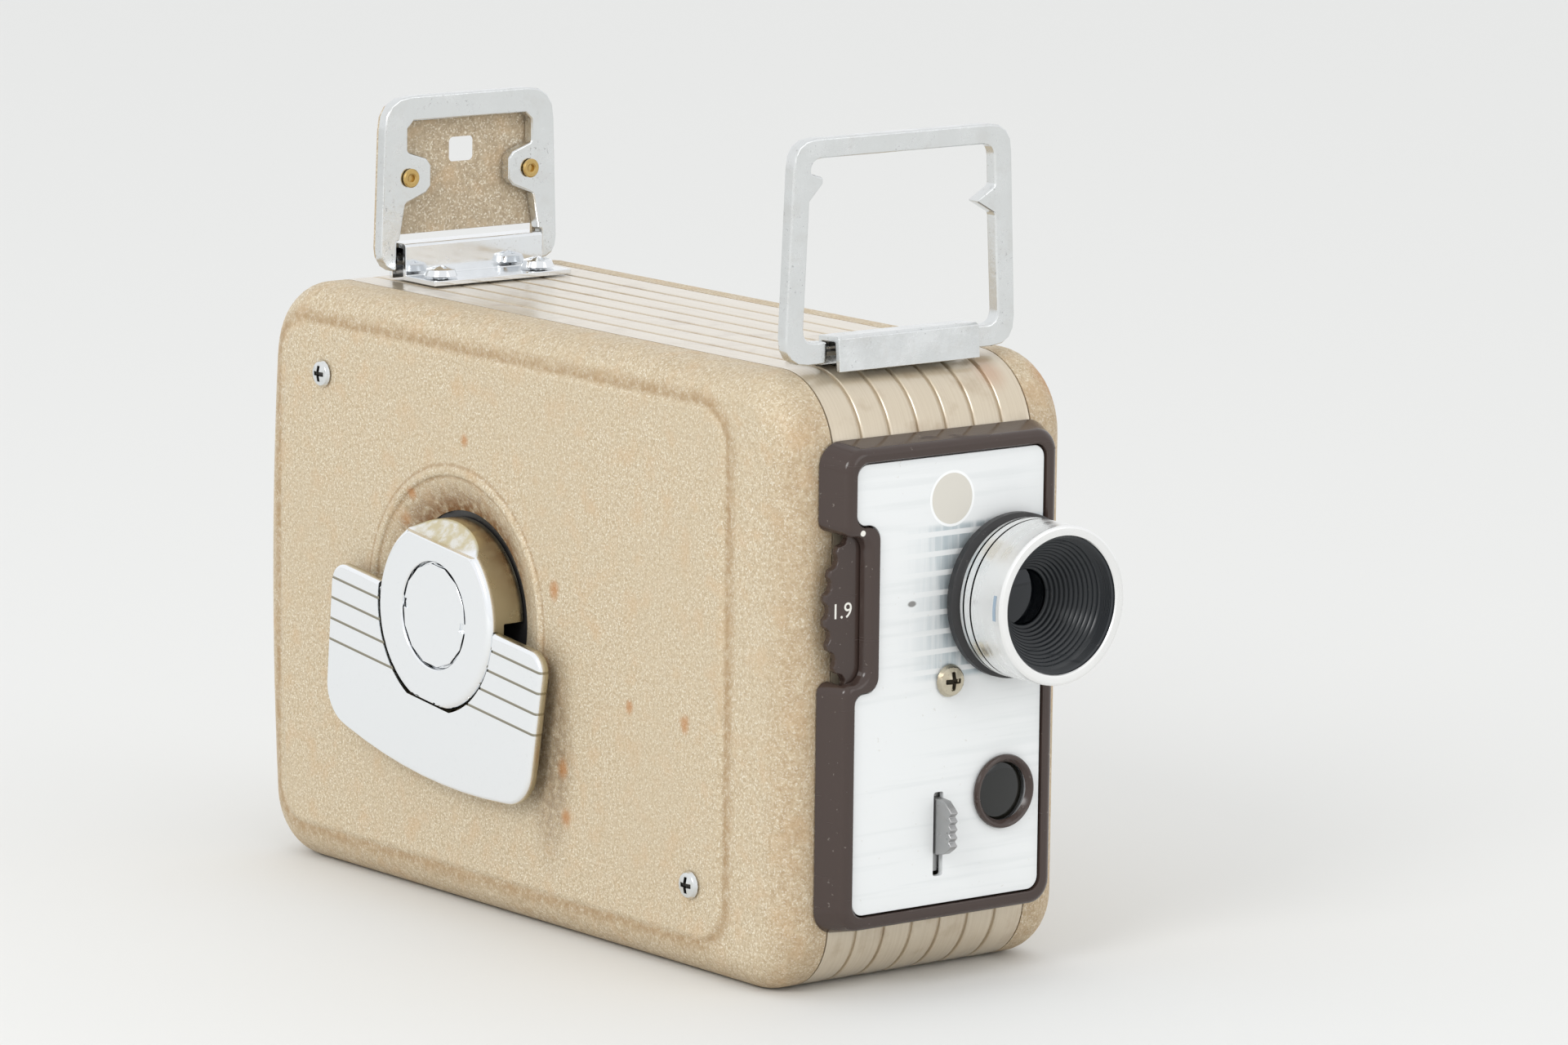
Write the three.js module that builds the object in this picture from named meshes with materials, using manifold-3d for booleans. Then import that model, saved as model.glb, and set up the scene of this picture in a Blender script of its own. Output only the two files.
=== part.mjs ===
// Spring-driven 8 mm cine camera with open-frame finders, millimetres, +Z up.
// The lens looks along -Y, the winding key is on the -X side and the film door on the +X side.
// The origin is the middle of the flat underside.
import * as THREE from "three";
import { mergeVertices } from "three/addons/utils/BufferGeometryUtils.js";
import Module from "manifold-3d";

const wasm = await Module();
wasm.setup();

// ---- Driving dimensions ----
const GAP = 0.3; // running clearance between neighbouring pieces

const BODY = { halfWidth: 31, front: -80, rear: 75.2, height: 105.5, topRadius: 14, lowRadius: 12, bow: 1.6 };
const BAND = { halfWidth: 21.3, wall: 1.4, ribs: 7, ribPitch: 6.08, grooveWidth: 0.8, grooveDepth: 0.45 };
const SHELL = { wall: 1.2, edgeRadius: 6 };
const PANEL = { rear: 67.5, front: -62.7, low: 6.5, top: 99.6, radius: 8, relief: 0.5 };

const LENS = {
  x: 12.7, z: 66.5, base: -85.9, seat: -88.2, tip: -99.3, radius: 13.7, boreRadius: 11.4, neck: 6.2,
};
const BEZEL = { front: -85.6, back: -80.3, halfWidth: 22.5, low: 12.2, top: 93.9, radius: 4, flare: 2.2 };
const PLATE = { front: -85, back: -84, halfWidth: 20.2, low: 14.6, top: 91.4, radius: 2.2 };
const NOTCH = { x: -15.2, low: 54.4, top: 79.2 };
const WHEEL = { x: -2.4, z: 66.7, radius: 23, front: -83.4, back: -81.7, scallops: 34, stops: 5 };
const WINDOW = { x: 12, z: 32.5, radius: 6.4 };
const LEVER = { x: -1.8, low: 23.2, top: 32.9, tip: -89.4, width: 1.5, teeth: 5 };
const SLOT = { low: 19.4, top: 33.9, width: 2.1 };

const KEY = { y: 14, z: 52.6, face: -35.9, radius: 16.8, flat: 15.6, tilt: THREE.MathUtils.degToRad(7.1) };
const PADDLE = {
  outer: -35.5, inner: -33.3, halfWidth: 32, footWidth: 30.6, shoulder: 1.5, side: -22, foot: -29.8,
};
const DISH = { outer: 24.8, inner: 18.6, depth: 2.2 };

const FRONT_FINDER = {
  y: -71.1, thick: 2.5, halfTop: 23.6, halfFoot: 25, low: 106.4, top: 144.6, rim: 3.8, radius: 5,
};
const REAR_FINDER = { y: 53, thick: 2.3, halfTop: 18.8, halfFoot: 19.5, low: 107.3, top: 138.8, radius: 6 };
const HINGE = { frontZ: 108.4, rearY: 54.15, rearZ: 109.3, halfWidth: 15.2, rod: 0.9 };
const BRACKET = { foot: 42.6, sheet: 0.9, screwX: 10.8, screwY: 47, headRadius: 3.1 };

const SEPTUM = { left: -1.6, right: 0 };
const BARREL = { left: -24.5, right: -12, radius: 26, gearRadius: 27.8 };
const STAGE_ONE = { y: -19.4, z: 52.6, pinionRadius: 5.2, wheelRadius: 13 };
const CROWN = { y: -34.6, z: 60, pinionRadius: 3.6, rimRadius: 12.4 };
const SHUTTER = { x: 0, z: 60, radius: 18.4, front: -77.6, back: -76.8 };
const GATE = { front: -72.4, back: -71.2 };
const SPOOLS = { supply: [46, 71], takeup: [4, 34] };
const TRIPOD = { y: -22, radius: 6, bore: 3.2, height: 8 };
const LATCH = { y: 6, z: 52.6, radius: 9, height: 3 };
const COUNTER = { y: -34, z: 70, radius: 9 };

// Colour, roughness and metalness of each finish.
const COLOUR = {
  enamel: [0xc0a783, 0.75, 0.1],
  band: [0xbfb09a, 0.4, 0.6],
  chrome: [0xd8dadb, 0.15, 1],
  bezel: [0x3c2f2b, 0.3, 0],
  white: [0xeceeee, 0.35, 0.2],
  black: [0x1d1d1f, 0.45, 0.1],
  aluminium: [0xd5d6d8, 0.3, 1],
  glass: [0x445566, 0.05, 0],
  steel: [0x9b9c9d, 0.35, 1],
  brass: [0xb99a5b, 0.35, 1],
  nickel: [0xb8b2a2, 0.3, 1],
  tan: [0xa8977e, 0.8, 0],
};

// ---- Solids and booleans ----

// Turns a geometry's faces outward when its signed volume is negative.
function outward(geometry) {
  const p = geometry.attributes.position;
  const index = geometry.index;
  const corner = (i) => new THREE.Vector3().fromBufferAttribute(p, index.getX(i));
  let volume = 0;
  for (let i = 0; i < index.count; i += 3) volume += corner(i).dot(corner(i + 1).cross(corner(i + 2)));
  if (volume < 0) {
    for (let i = 0; i < index.count; i += 3) {
      const first = index.getX(i);
      index.setX(i, index.getX(i + 1));
      index.setX(i + 1, first);
    }
  }
  return geometry;
}

// A closed geometry as a solid that can be joined and cut.
function solid(geometry) {
  const bare = geometry.clone();
  bare.deleteAttribute("normal");
  bare.deleteAttribute("uv");
  const merged = outward(mergeVertices(bare, 1e-4));
  const mesh = new wasm.Mesh({
    numProp: 3,
    vertProperties: merged.attributes.position.array,
    triVerts: new Uint32Array(merged.index.array),
  });
  return new wasm.Manifold(mesh);
}

const cut = (base, ...tools) => tools.reduce((rest, tool) => rest.subtract(tool), base);
const join = (...pieces) => pieces.reduce((whole, piece) => whole.add(piece));

function geometryOf(manifold) {
  const mesh = manifold.getMesh();
  const geometry = new THREE.BufferGeometry();
  geometry.setAttribute("position", new THREE.BufferAttribute(mesh.vertProperties, 3));
  geometry.setIndex(new THREE.BufferAttribute(mesh.triVerts, 1));
  geometry.computeVertexNormals();
  return geometry;
}

const extruded = (shape, depth, curveSegments) =>
  new THREE.ExtrudeGeometry(shape, { depth, curveSegments, bevelEnabled: false });

// An outline drawn in (y, z), pulled from x0 to x1.
function pullX(shape, x0, x1, segments = 3) {
  const geometry = extruded(shape, x1 - x0, segments);
  const turn = new THREE.Matrix4().makeBasis(
    new THREE.Vector3(0, 1, 0),
    new THREE.Vector3(0, 0, 1),
    new THREE.Vector3(1, 0, 0),
  );
  geometry.applyMatrix4(turn);
  return solid(geometry.translate(x0, 0, 0));
}

// An outline drawn in (x, z), pulled from y0 to y1.
function pullY(shape, y0, y1, segments = 4) {
  const geometry = extruded(shape, y1 - y0, segments);
  return solid(geometry.rotateX(Math.PI / 2).translate(0, y1, 0));
}

// A profile of [radius, height] points turned about an axis through the given point.
function turn(axis, at, profile, segments = 20) {
  const points = profile.map(([r, h]) => new THREE.Vector2(r, h));
  const geometry = new THREE.LatheGeometry(points, segments);
  if (axis === "x") geometry.rotateZ(-Math.PI / 2);
  if (axis === "z") geometry.rotateX(Math.PI / 2);
  return solid(geometry.translate(...at));
}

const rod = (axis, at, radius, from, to, segments = 24) =>
  turn(axis, at, [[0, from], [radius, from], [radius, to], [0, to]], segments);

const tube = (axis, at, inner, outer, from, to, segments = 24) =>
  turn(axis, at, [[inner, from], [outer, from], [outer, to], [inner, to], [inner, from]], segments);

function block(x0, x1, y0, y1, z0, z1) {
  const geometry = new THREE.BoxGeometry(x1 - x0, y1 - y0, z1 - z0);
  return solid(geometry.translate((x0 + x1) / 2, (y0 + y1) / 2, (z0 + z1) / 2));
}

// ---- Outlines ----

function roundedRectangle(a0, a1, b0, b1, r) {
  const shape = new THREE.Shape();
  shape.moveTo(a0 + r, b0);
  shape.lineTo(a1 - r, b0);
  shape.absarc(a1 - r, b0 + r, r, -Math.PI / 2, 0);
  shape.lineTo(a1, b1 - r);
  shape.absarc(a1 - r, b1 - r, r, 0, Math.PI / 2);
  shape.lineTo(a0 + r, b1);
  shape.absarc(a0 + r, b1 - r, r, Math.PI / 2, Math.PI);
  shape.lineTo(a0, b0 + r);
  shape.absarc(a0 + r, b0 + r, r, Math.PI, 1.5 * Math.PI);
  return shape;
}

const circle = (a, b, r) => new THREE.Shape().absarc(a, b, r, 0, 2 * Math.PI);

function polygon(points) {
  return new THREE.Shape(points.map(([a, b]) => new THREE.Vector2(a, b)));
}

// The body seen from the side, in (y, z), drawn in by the given inset. Its rear is slightly bowed.
function sideOutline(inset) {
  const front = BODY.front + inset;
  const rear = BODY.rear - inset;
  const low = inset;
  const top = BODY.height - inset;
  const rt = BODY.topRadius - inset;
  const rl = BODY.lowRadius - inset;
  const backRun = rear - BODY.bow;
  const shape = new THREE.Shape();
  shape.moveTo(front + rl, low);
  shape.lineTo(backRun - rl, low);
  shape.absarc(backRun - rl, low + rl, rl, -Math.PI / 2, 0);
  shape.quadraticCurveTo(rear + BODY.bow, (low + top) / 2, backRun, top - rt);
  shape.absarc(backRun - rt, top - rt, rt, 0, Math.PI / 2);
  shape.lineTo(front + rt, top);
  shape.absarc(front + rt, top - rt, rt, Math.PI / 2, Math.PI);
  shape.lineTo(front, low + rl);
  shape.absarc(front + rl, low + rl, rl, Math.PI, 1.5 * Math.PI);
  return shape;
}

// A gear outline: four points a tooth.
function gearOutline(a, b, teeth, tip, root) {
  const points = [];
  for (let i = 0; i < teeth; i++) {
    for (const [share, r] of [[0.08, root], [0.3, tip], [0.56, tip], [0.78, root]]) {
      const angle = ((i + share) / teeth) * 2 * Math.PI;
      points.push([a + r * Math.cos(angle), b + r * Math.sin(angle)]);
    }
  }
  return polygon(points);
}

// ---- The scene graph ----

const camera = new THREE.Group();

function add(name, shape, colour) {
  const [color, roughness, metalness] = COLOUR[colour];
  const material = new THREE.MeshStandardMaterial({ color, roughness, metalness });
  const mesh = new THREE.Mesh(geometryOf(shape), material);
  mesh.name = name;
  camera.add(mesh);
}

// ---- Body: ribbed band, two side shells and the wall between motor and film ----

const farWide = BODY.halfWidth + 10;

function bodyBand() {
  const hoop = sideOutline(0);
  hoop.holes.push(sideOutline(BAND.wall));
  let band = pullX(hoop, -BAND.halfWidth, BAND.halfWidth, 2);
  const ring = sideOutline(-1);
  ring.holes.push(sideOutline(BAND.grooveDepth));
  for (let i = 1; i < BAND.ribs; i++) {
    const x = (i - BAND.ribs / 2) * BAND.ribPitch;
    band = cut(band, pullX(ring, x - BAND.grooveWidth / 2, x + BAND.grooveWidth / 2, 2));
  }
  return cut(
    band,
    rod("y", [LENS.x, 0, LENS.z], 6, BODY.front - 2, BODY.front + 3),
    rod("y", [WINDOW.x, 0, WINDOW.z], 5.2, BODY.front - 2, BODY.front + 3),
    rod("y", [SHUTTER.x, 0, SHUTTER.z], 1.8, BODY.front - 2, BODY.front + 3, 12),
    rod("z", [0, TRIPOD.y, 0], TRIPOD.radius + GAP, -1, 3),
    block(LEVER.x - 3, LEVER.x + 3, BODY.front - 2, BODY.front + 3, 16, 38),
  );
}

// A pressed shell: rounded outside edges, even wall, open towards the band. side is -1 or 1.
function sideShell(side) {
  const radius = SHELL.edgeRadius;
  const pressed = (inset, reach) => {
    const geometry = new THREE.ExtrudeGeometry(sideOutline(inset + radius), {
      depth: 2 * (reach - radius),
      bevelThickness: radius,
      bevelSize: radius,
      bevelSegments: 3,
      curveSegments: 2,
    });
    geometry.translate(0, 0, radius - reach);
    geometry.applyMatrix4(new THREE.Matrix4().set(0, 0, 1, 0, 1, 0, 0, 0, 0, 1, 0, 0, 0, 0, 0, 1));
    return solid(geometry);
  };
  const outer = pressed(0, BODY.halfWidth);
  const inner = pressed(SHELL.wall, BODY.halfWidth - SHELL.wall);
  const open = BAND.halfWidth + GAP;
  const rest = side < 0 ? [-open, farWide] : [-farWide, open];
  const shell = cut(outer, inner, block(rest[0], rest[1], -120, 120, -20, 140));
  const outerFace = side * (BODY.halfWidth - PANEL.relief);
  const border = roundedRectangle(PANEL.front - 40, PANEL.rear + 40, PANEL.low - 30, PANEL.top + 30, 5);
  border.holes.push(roundedRectangle(PANEL.front, PANEL.rear, PANEL.low, PANEL.top, PANEL.radius));
  const relief = side < 0 ? pullX(border, -farWide, outerFace, 2) : pullX(border, outerFace, farWide, 2);
  return cut(shell, relief);
}

const coverScrews = [[54.5, 90], [-54.6, 16.1]];

function mechanismCover() {
  const { outer, inner, depth } = DISH;
  const face = -BODY.halfWidth;
  const at = [0, KEY.y, KEY.z];
  const bossProfile = [[0, face + 0.4], [outer + 1.5, face + 0.4], [outer, face + 3], [0, face + 3]];
  const mouth = [[0, face - 1], [outer, face - 1], [outer, face]];
  const boss = turn("x", at, bossProfile, 24);
  const dish = turn("x", at, [...mouth, [inner, face + depth], [0, face + depth]], 24);
  const bore = rod("x", at, inner, face - 2, face + 6, 24);
  const screwHoles = coverScrews.map(([y, z]) => rod("x", [0, y, z], 1.6, face - 1, face + 3, 12));
  return cut(join(sideShell(-1), boss), dish, bore, ...screwHoles);
}

function coverScrew([y, z]) {
  const face = -BODY.halfWidth - GAP;
  return crossHead("x", [0, y, z], face, -1, 2.5, 1.2, 1.3, 4);
}

// A cross-recess screw. The head stands on `seat` and faces along `way` times the axis.
function crossHead(axis, at, seat, way, radius, rise, shank, reach) {
  const head = [[radius, 0], [radius * 0.85, rise * 0.6], [0, rise]];
  const placed = [[0, -reach], [shank, -reach], [shank, 0], ...head].map(([r, h]) => [r, seat + way * h]);
  const top = seat + way * rise;
  const floor = seat + way * rise * 0.25;
  const [from, to] = [Math.min(top, floor) - (way < 0 ? 1 : 0), Math.max(top, floor) + (way > 0 ? 1 : 0)];
  const [wide, narrow] = [radius * 0.55, radius * 0.13];
  const slots = [[wide, narrow], [narrow, wide]].map(([p, q]) => {
    const [x, y, z] = at;
    if (axis === "x") return block(from, to, y - p, y + p, z - q, z + q);
    if (axis === "y") return block(x - p, x + p, from, to, z - q, z + q);
    return block(x - p, x + p, y - q, y + q, from, to);
  });
  return cut(turn(axis, at, placed, 16), ...slots);
}

function filmDoor() {
  const face = BODY.halfWidth;
  const latchHole = rod("x", [0, LATCH.y, LATCH.z], 3.3, face - 4, face + 2, 20);
  const windowHole = rod("x", [0, COUNTER.y, COUNTER.z], COUNTER.radius - 4, face - 4, face + 2, 20);
  return cut(sideShell(1), latchHole, windowHole);
}

function mechanismPlate() {
  const outline = sideOutline(BAND.wall + GAP);
  const plate = pullX(outline, SEPTUM.left, SEPTUM.right, 2);
  const shutterRoom = block(-3, 1, -90, -44, 41, 79.5);
  const bushRoom = block(-3, 1, TRIPOD.y - 9, TRIPOD.y + 9, -1, 9);
  const bearings = [
    [KEY.y, KEY.z, 3.3],
    [STAGE_ONE.y, STAGE_ONE.z, 1.8],
    [...SPOOLS.supply, 2.3],
    [...SPOOLS.takeup, 2.3],
  ].map(([y, z, r]) => rod("x", [0, y, z], r, -3, 2, 12));
  return cut(plate, shutterRoom, bushRoom, ...bearings);
}

const pillars = {
  motor_pillar_low_rear: [46, 24],
  motor_pillar_low_front: [-34, 24],
  motor_pillar_top_rear: [46, 82],
  motor_pillar_top_front: [-34, 82],
};

function motorBridge() {
  const outline = roundedRectangle(-39, 51, 19, 87, 6);
  outline.holes.push(circle(KEY.y, KEY.z, 6.2));
  return pullX(outline, -27.8, -26.6, 2);
}

// ---- Front: bezel, name plate, window, release ----

function bezelOutline(grow) {
  const { halfWidth, low, top, radius } = BEZEL;
  const left = -halfWidth - grow;
  const right = halfWidth + grow;
  const lowEdge = low - grow / 2;
  const topEdge = top + grow / 2;
  const shape = new THREE.Shape();
  const r = radius;
  const notch = NOTCH.x - 2.6;
  shape.moveTo(left + r, lowEdge);
  shape.lineTo(right - r, lowEdge);
  shape.absarc(right - r, lowEdge + r, r, -Math.PI / 2, 0);
  shape.absarc(right - r, topEdge - r, r, 0, Math.PI / 2);
  shape.absarc(left + r, topEdge - r, r, Math.PI / 2, Math.PI);
  shape.lineTo(left, NOTCH.top + 3);
  shape.quadraticCurveTo(left, NOTCH.top, left + 3, NOTCH.top);
  shape.quadraticCurveTo(notch, NOTCH.top, notch, NOTCH.top - 3);
  shape.lineTo(notch, NOTCH.low + 3);
  shape.quadraticCurveTo(notch, NOTCH.low, left + 3, NOTCH.low);
  shape.quadraticCurveTo(left, NOTCH.low, left, NOTCH.low - 3);
  shape.absarc(left + r, lowEdge + r, r, Math.PI, 1.5 * Math.PI);
  return shape;
}

function plateOutline(grow) {
  const left = -PLATE.halfWidth - grow;
  const right = PLATE.halfWidth + grow;
  const [low, top] = [PLATE.low - grow, PLATE.top + grow];
  const r = PLATE.radius;
  const notch = NOTCH.x - grow;
  const shape = new THREE.Shape();
  shape.moveTo(left + r, low);
  shape.lineTo(right - r, low);
  shape.absarc(right - r, low + r, r, -Math.PI / 2, 0);
  shape.absarc(right - r, top - r, r, 0, Math.PI / 2);
  shape.absarc(left + r, top - r, r, Math.PI / 2, Math.PI);
  shape.lineTo(left, NOTCH.top + 2 - grow);
  shape.quadraticCurveTo(left, NOTCH.top - grow, left + 2, NOTCH.top - grow);
  shape.quadraticCurveTo(notch, NOTCH.top - grow, notch, NOTCH.top - 4 - grow);
  shape.lineTo(notch, NOTCH.low + 4 + grow);
  shape.quadraticCurveTo(notch, NOTCH.low + grow, left + 2, NOTCH.low + grow);
  shape.quadraticCurveTo(left, NOTCH.low + grow, left, NOTCH.low - 2 + grow);
  shape.absarc(left + r, low + r, r, Math.PI, 1.5 * Math.PI);
  return shape;
}

function frontBezel() {
  const steps = [[BEZEL.flare, BEZEL.back, -82.4], [BEZEL.flare * 0.5, -82.3, -84.5], [0, -84.4, BEZEL.front]];
  const stack = steps.map(([grow, back, front]) => pullY(bezelOutline(grow), front, back, 2));
  const pocket = pullY(plateOutline(GAP), BEZEL.front - 1, PLATE.back + GAP, 2);
  const cavity = pullY(plateOutline(-1.2), BEZEL.front - 1, BODY.front + 1, 2);
  const wheelRoom = rod("y", [WHEEL.x, 0, WHEEL.z], WHEEL.radius + 0.5, WHEEL.front - GAP, BODY.front + 1, 24);
  const neckRoom = rod("y", [LENS.x, 0, LENS.z], LENS.neck + 0.6, BEZEL.front - 1, BODY.front + 1);
  return cut(join(...stack), pocket, cavity, wheelRoom, neckRoom);
}

function frontPlate() {
  const outline = plateOutline(0);
  outline.holes.push(circle(LENS.x, LENS.z, LENS.neck + GAP), circle(WINDOW.x, WINDOW.z, 5.7));
  outline.holes.push(circle(0, 52.9, 1.7));
  const halfSlot = SLOT.width / 2;
  outline.holes.push(roundedRectangle(LEVER.x - halfSlot, LEVER.x + halfSlot, SLOT.low, SLOT.top, 0.5));
  return pullY(outline, PLATE.front, PLATE.back, 7);
}

function exposureWheel() {
  const outline = gearOutline(WHEEL.x, WHEEL.z, WHEEL.scallops, WHEEL.radius, WHEEL.radius - 0.9);
  const toLens = Math.atan2(LENS.z - WHEEL.z, LENS.x - WHEEL.x);
  const reach = Math.hypot(LENS.x - WHEEL.x, LENS.z - WHEEL.z);
  for (let i = 0; i < WHEEL.stops; i++) {
    const angle = toLens + i * THREE.MathUtils.degToRad(24);
    const bore = 3.3 * 0.72 ** i;
    outline.holes.push(circle(WHEEL.x + reach * Math.cos(angle), WHEEL.z + reach * Math.sin(angle), bore));
  }
  outline.holes.push(circle(WHEEL.x, WHEEL.z, 2));
  return pullY(outline, WHEEL.front, WHEEL.back, 4);
}

function releaseLever() {
  const { x, low, top, tip, width, teeth } = LEVER;
  const points = [[PLATE.back + 0.4, low], [PLATE.front - 0.6, low], [-87.4, low + 0.4]];
  const run = top - low - 2.6;
  for (let i = 0; i < teeth; i++) {
    const z = low + 1.3 + (i * run) / teeth;
    points.push([tip + 0.7, z], [tip, z + (0.5 * run) / teeth]);
  }
  points.push([tip + 0.7, top - 1.3], [-87.4, top - 0.2], [PLATE.front - 0.6, top], [PLATE.back + 0.4, top]);
  const thumb = pullX(polygon(points), x - width / 2, x + width / 2);
  const slider = block(x - 2.2, x + 2.2, PLATE.back + GAP, PLATE.back + 1.1, 20, 36);
  return join(thumb, slider);
}

function releaseSpring() {
  const points = [[-7, 36], [-7, 18.5], [-4.8, 17.4], [-4.4, 17.9], [-6.3, 18.9], [-6.3, 36]];
  return pullY(polygon(points), -83.4, -81.4);
}

// ---- Lens ----

const lensAt = [LENS.x, 0, LENS.z];

function lensBaseRing() {
  const { neck, base, seat } = LENS;
  const start = [neck - 1, PLATE.back + GAP];
  const tube = [start, [neck, PLATE.back + GAP], [neck, base]];
  const flange = [[14.2, base], [14.2, seat + 0.6], [12.6, seat], [neck - 1, seat]];
  return turn("y", lensAt, [...tube, ...flange, start], 28);
}

function lensBarrel() {
  const r = LENS.radius;
  const groove = (at) => [[r, at + 0.35], [r - 0.5, at + 0.2], [r - 0.5, at - 0.2], [r, at - 0.35]];
  const outside = [[r, -88.6], ...groove(-89.8), ...groove(-91.6), [r, -98.9], [r - 0.5, LENS.tip]];
  const inside = [[LENS.boreRadius + 0.6, LENS.tip], [LENS.boreRadius + 0.6, -89.2], [9.4, -88.6], [r, -88.6]];
  return turn("y", lensAt, [...outside, ...inside], 24);
}

// The ribbed black cone inside the barrel's mouth.
function lensHoodCone() {
  const [mouth, throat] = [LENS.boreRadius - 0.2, 6.6];
  const [front, back] = [-98.9, -89.6];
  const steps = 4;
  const inside = [];
  for (let i = 0; i < steps; i++) {
    const y = front + ((back - front) * i) / steps;
    const r = mouth + ((throat - mouth) * i) / steps;
    inside.push([r, y], [r, y + (back - front) / steps]);
  }
  const shell = LENS.boreRadius + 0.3;
  return turn("y", lensAt, [...inside, [shell, back], [shell, front], inside[0]], 24);
}

function element(radius, front, back, bulge) {
  const dome = [[radius, front], [radius * 0.6, front - bulge * 0.7], [0, front - bulge]];
  return turn("y", lensAt, [[0, back], [radius, back], ...dome], 20);
}

// ---- Front finder: open frame that folds back on the top, and its folded clip ----

function frontFinderFrame() {
  const f = FRONT_FINDER;
  const outline = new THREE.Shape();
  const r = f.radius;
  outline.moveTo(-f.halfFoot + r, f.low);
  outline.lineTo(f.halfFoot - r, f.low);
  outline.quadraticCurveTo(f.halfFoot, f.low, f.halfFoot - 0.2, f.low + r);
  outline.lineTo(f.halfTop, f.top - r);
  outline.quadraticCurveTo(f.halfTop, f.top, f.halfTop - r, f.top);
  outline.lineTo(-f.halfTop + r, f.top);
  outline.quadraticCurveTo(-f.halfTop, f.top, -f.halfTop, f.top - r);
  outline.lineTo(-f.halfFoot + 0.2, f.low + r);
  outline.quadraticCurveTo(-f.halfFoot, f.low, -f.halfFoot + r, f.low);
  const [inTop, inFoot] = [f.halfTop - f.rim, f.halfFoot - f.rim - 0.2];
  const [low, top, s] = [f.low + f.rim, f.top - f.rim + 0.4, 2.4];
  const window = new THREE.Path();
  window.moveTo(-inFoot + s, low);
  window.lineTo(inFoot - s, low);
  window.quadraticCurveTo(inFoot, low, inFoot, low + s);
  window.lineTo(inTop + 0.3, 129.2);
  window.lineTo(15.8, 131.6);
  window.lineTo(inTop + 0.2, 134);
  window.lineTo(inTop, top - s);
  window.quadraticCurveTo(inTop, top, inTop - s, top);
  window.lineTo(-inTop + s, top);
  window.quadraticCurveTo(-inTop, top, -inTop, top - s);
  window.lineTo(-17.2, 138);
  window.lineTo(-17.2, 136.9);
  window.lineTo(-inTop - 0.2, 134);
  window.lineTo(-inFoot, low + s);
  window.quadraticCurveTo(-inFoot, low, -inFoot + s, low);
  outline.holes.push(window);
  const frame = pullY(outline, f.y, f.y + f.thick, 4);
  const half = HINGE.halfWidth + 1;
  const trimmed = cut(frame, block(-half, half, f.y - 1, f.y + f.thick + 1, f.low - 1, low + 0.01));
  const axle = rod("x", [0, f.y + f.thick / 2, HINGE.frontZ], HINGE.rod, -half - 0.5, half + 0.5, 12);
  return join(trimmed, axle);
}

// Sheet clip wrapped over the frame's bottom axle and let into the curved top of the band.
function frontFinderClip() {
  const f = FRONT_FINDER;
  const [front, back] = [f.y - 2.1, f.y + f.thick + 0.9];
  const outer = [[front - 0.4, 105.2], [front, 110.8], [front + 0.8, 111.2], [back, 110.9], [back, 106.6]];
  const foot = [[back + 9, 106.6], [back + 9, 105.8], [back - 0.9, 105.8], [back - 0.9, 110]];
  const inner = [[front + 1, 110.1], [front + 0.5, 105.2]];
  return pullX(polygon([...outer, ...foot, ...inner]), -HINGE.halfWidth, HINGE.halfWidth);
}

// ---- Rear finder: thick frame, painted plate behind it, bracket with two screws ----

function rearFinderOutline(inset) {
  const f = REAR_FINDER;
  const [foot, head, low, top] = [f.halfFoot - inset, f.halfTop - inset, f.low + inset, f.top - inset];
  const [r, s] = [f.radius - inset * 0.5, 4 - inset * 0.5];
  const shape = new THREE.Shape();
  shape.moveTo(-foot + s, low);
  shape.lineTo(foot - s, low);
  shape.quadraticCurveTo(foot, low, foot, low + s);
  shape.lineTo(head, top - r);
  shape.quadraticCurveTo(head, top, head - r, top);
  shape.lineTo(-head + r, top);
  shape.quadraticCurveTo(-head, top, -head, top - r);
  shape.lineTo(-foot, low + s);
  shape.quadraticCurveTo(-foot, low, -foot + s, low);
  return shape;
}

function rearFinderFrame() {
  const f = REAR_FINDER;
  const sill = f.low + 4.6;
  const outline = rearFinderOutline(0);
  const lug = [[14.2, 119.4], [9.6, 121.2], [8.6, 122.4], [8.6, 126.2], [9.6, 127.4], [13.7, 128.8]];
  const rightSide = [[15.6, sill], ...lug, [13.7, 133], [12.4, 134.3]];
  const leftSide = rightSide.map(([x, z]) => [-x, z]).reverse();
  outline.holes.push(new THREE.Path([...rightSide, ...leftSide].map(([x, z]) => new THREE.Vector2(x, z))));
  const frame = pullY(outline, f.y, f.y + f.thick, 4);
  const room = HINGE.halfWidth + 1;
  const rivetHoles = [-13.3, 13.3].map((x) => rod("y", [x, 0, 124.1], 1.3, f.y - 1, f.y + f.thick + 1, 12));
  const footRoom = block(-room, room, f.y - 1, f.y + f.thick + 1, f.low - 1, sill + 0.9);
  const trimmed = cut(frame, footRoom, ...rivetHoles);
  const axle = rod("x", [0, HINGE.rearY, HINGE.rearZ], HINGE.rod, -room - 0.5, room + 0.5, 12);
  return join(trimmed, axle);
}

function rearFinderPlate() {
  const f = REAR_FINDER;
  const outline = rearFinderOutline(0.5);
  outline.holes.push(roundedRectangle(-2.8, 2.8, 126, 130.5, 0.9));
  const rivetHoles = [-13.3, 13.3].map((x) => rod("y", [x, 0, 124.1], 1.3, f.y, f.y + 6, 12));
  const sheet = pullY(outline, f.y + f.thick + GAP, f.y + f.thick + 1, 4);
  const room = HINGE.halfWidth + 0.6;
  return cut(sheet, block(-room, room, 50, 60, 100, 113.6), ...rivetHoles);
}

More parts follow.
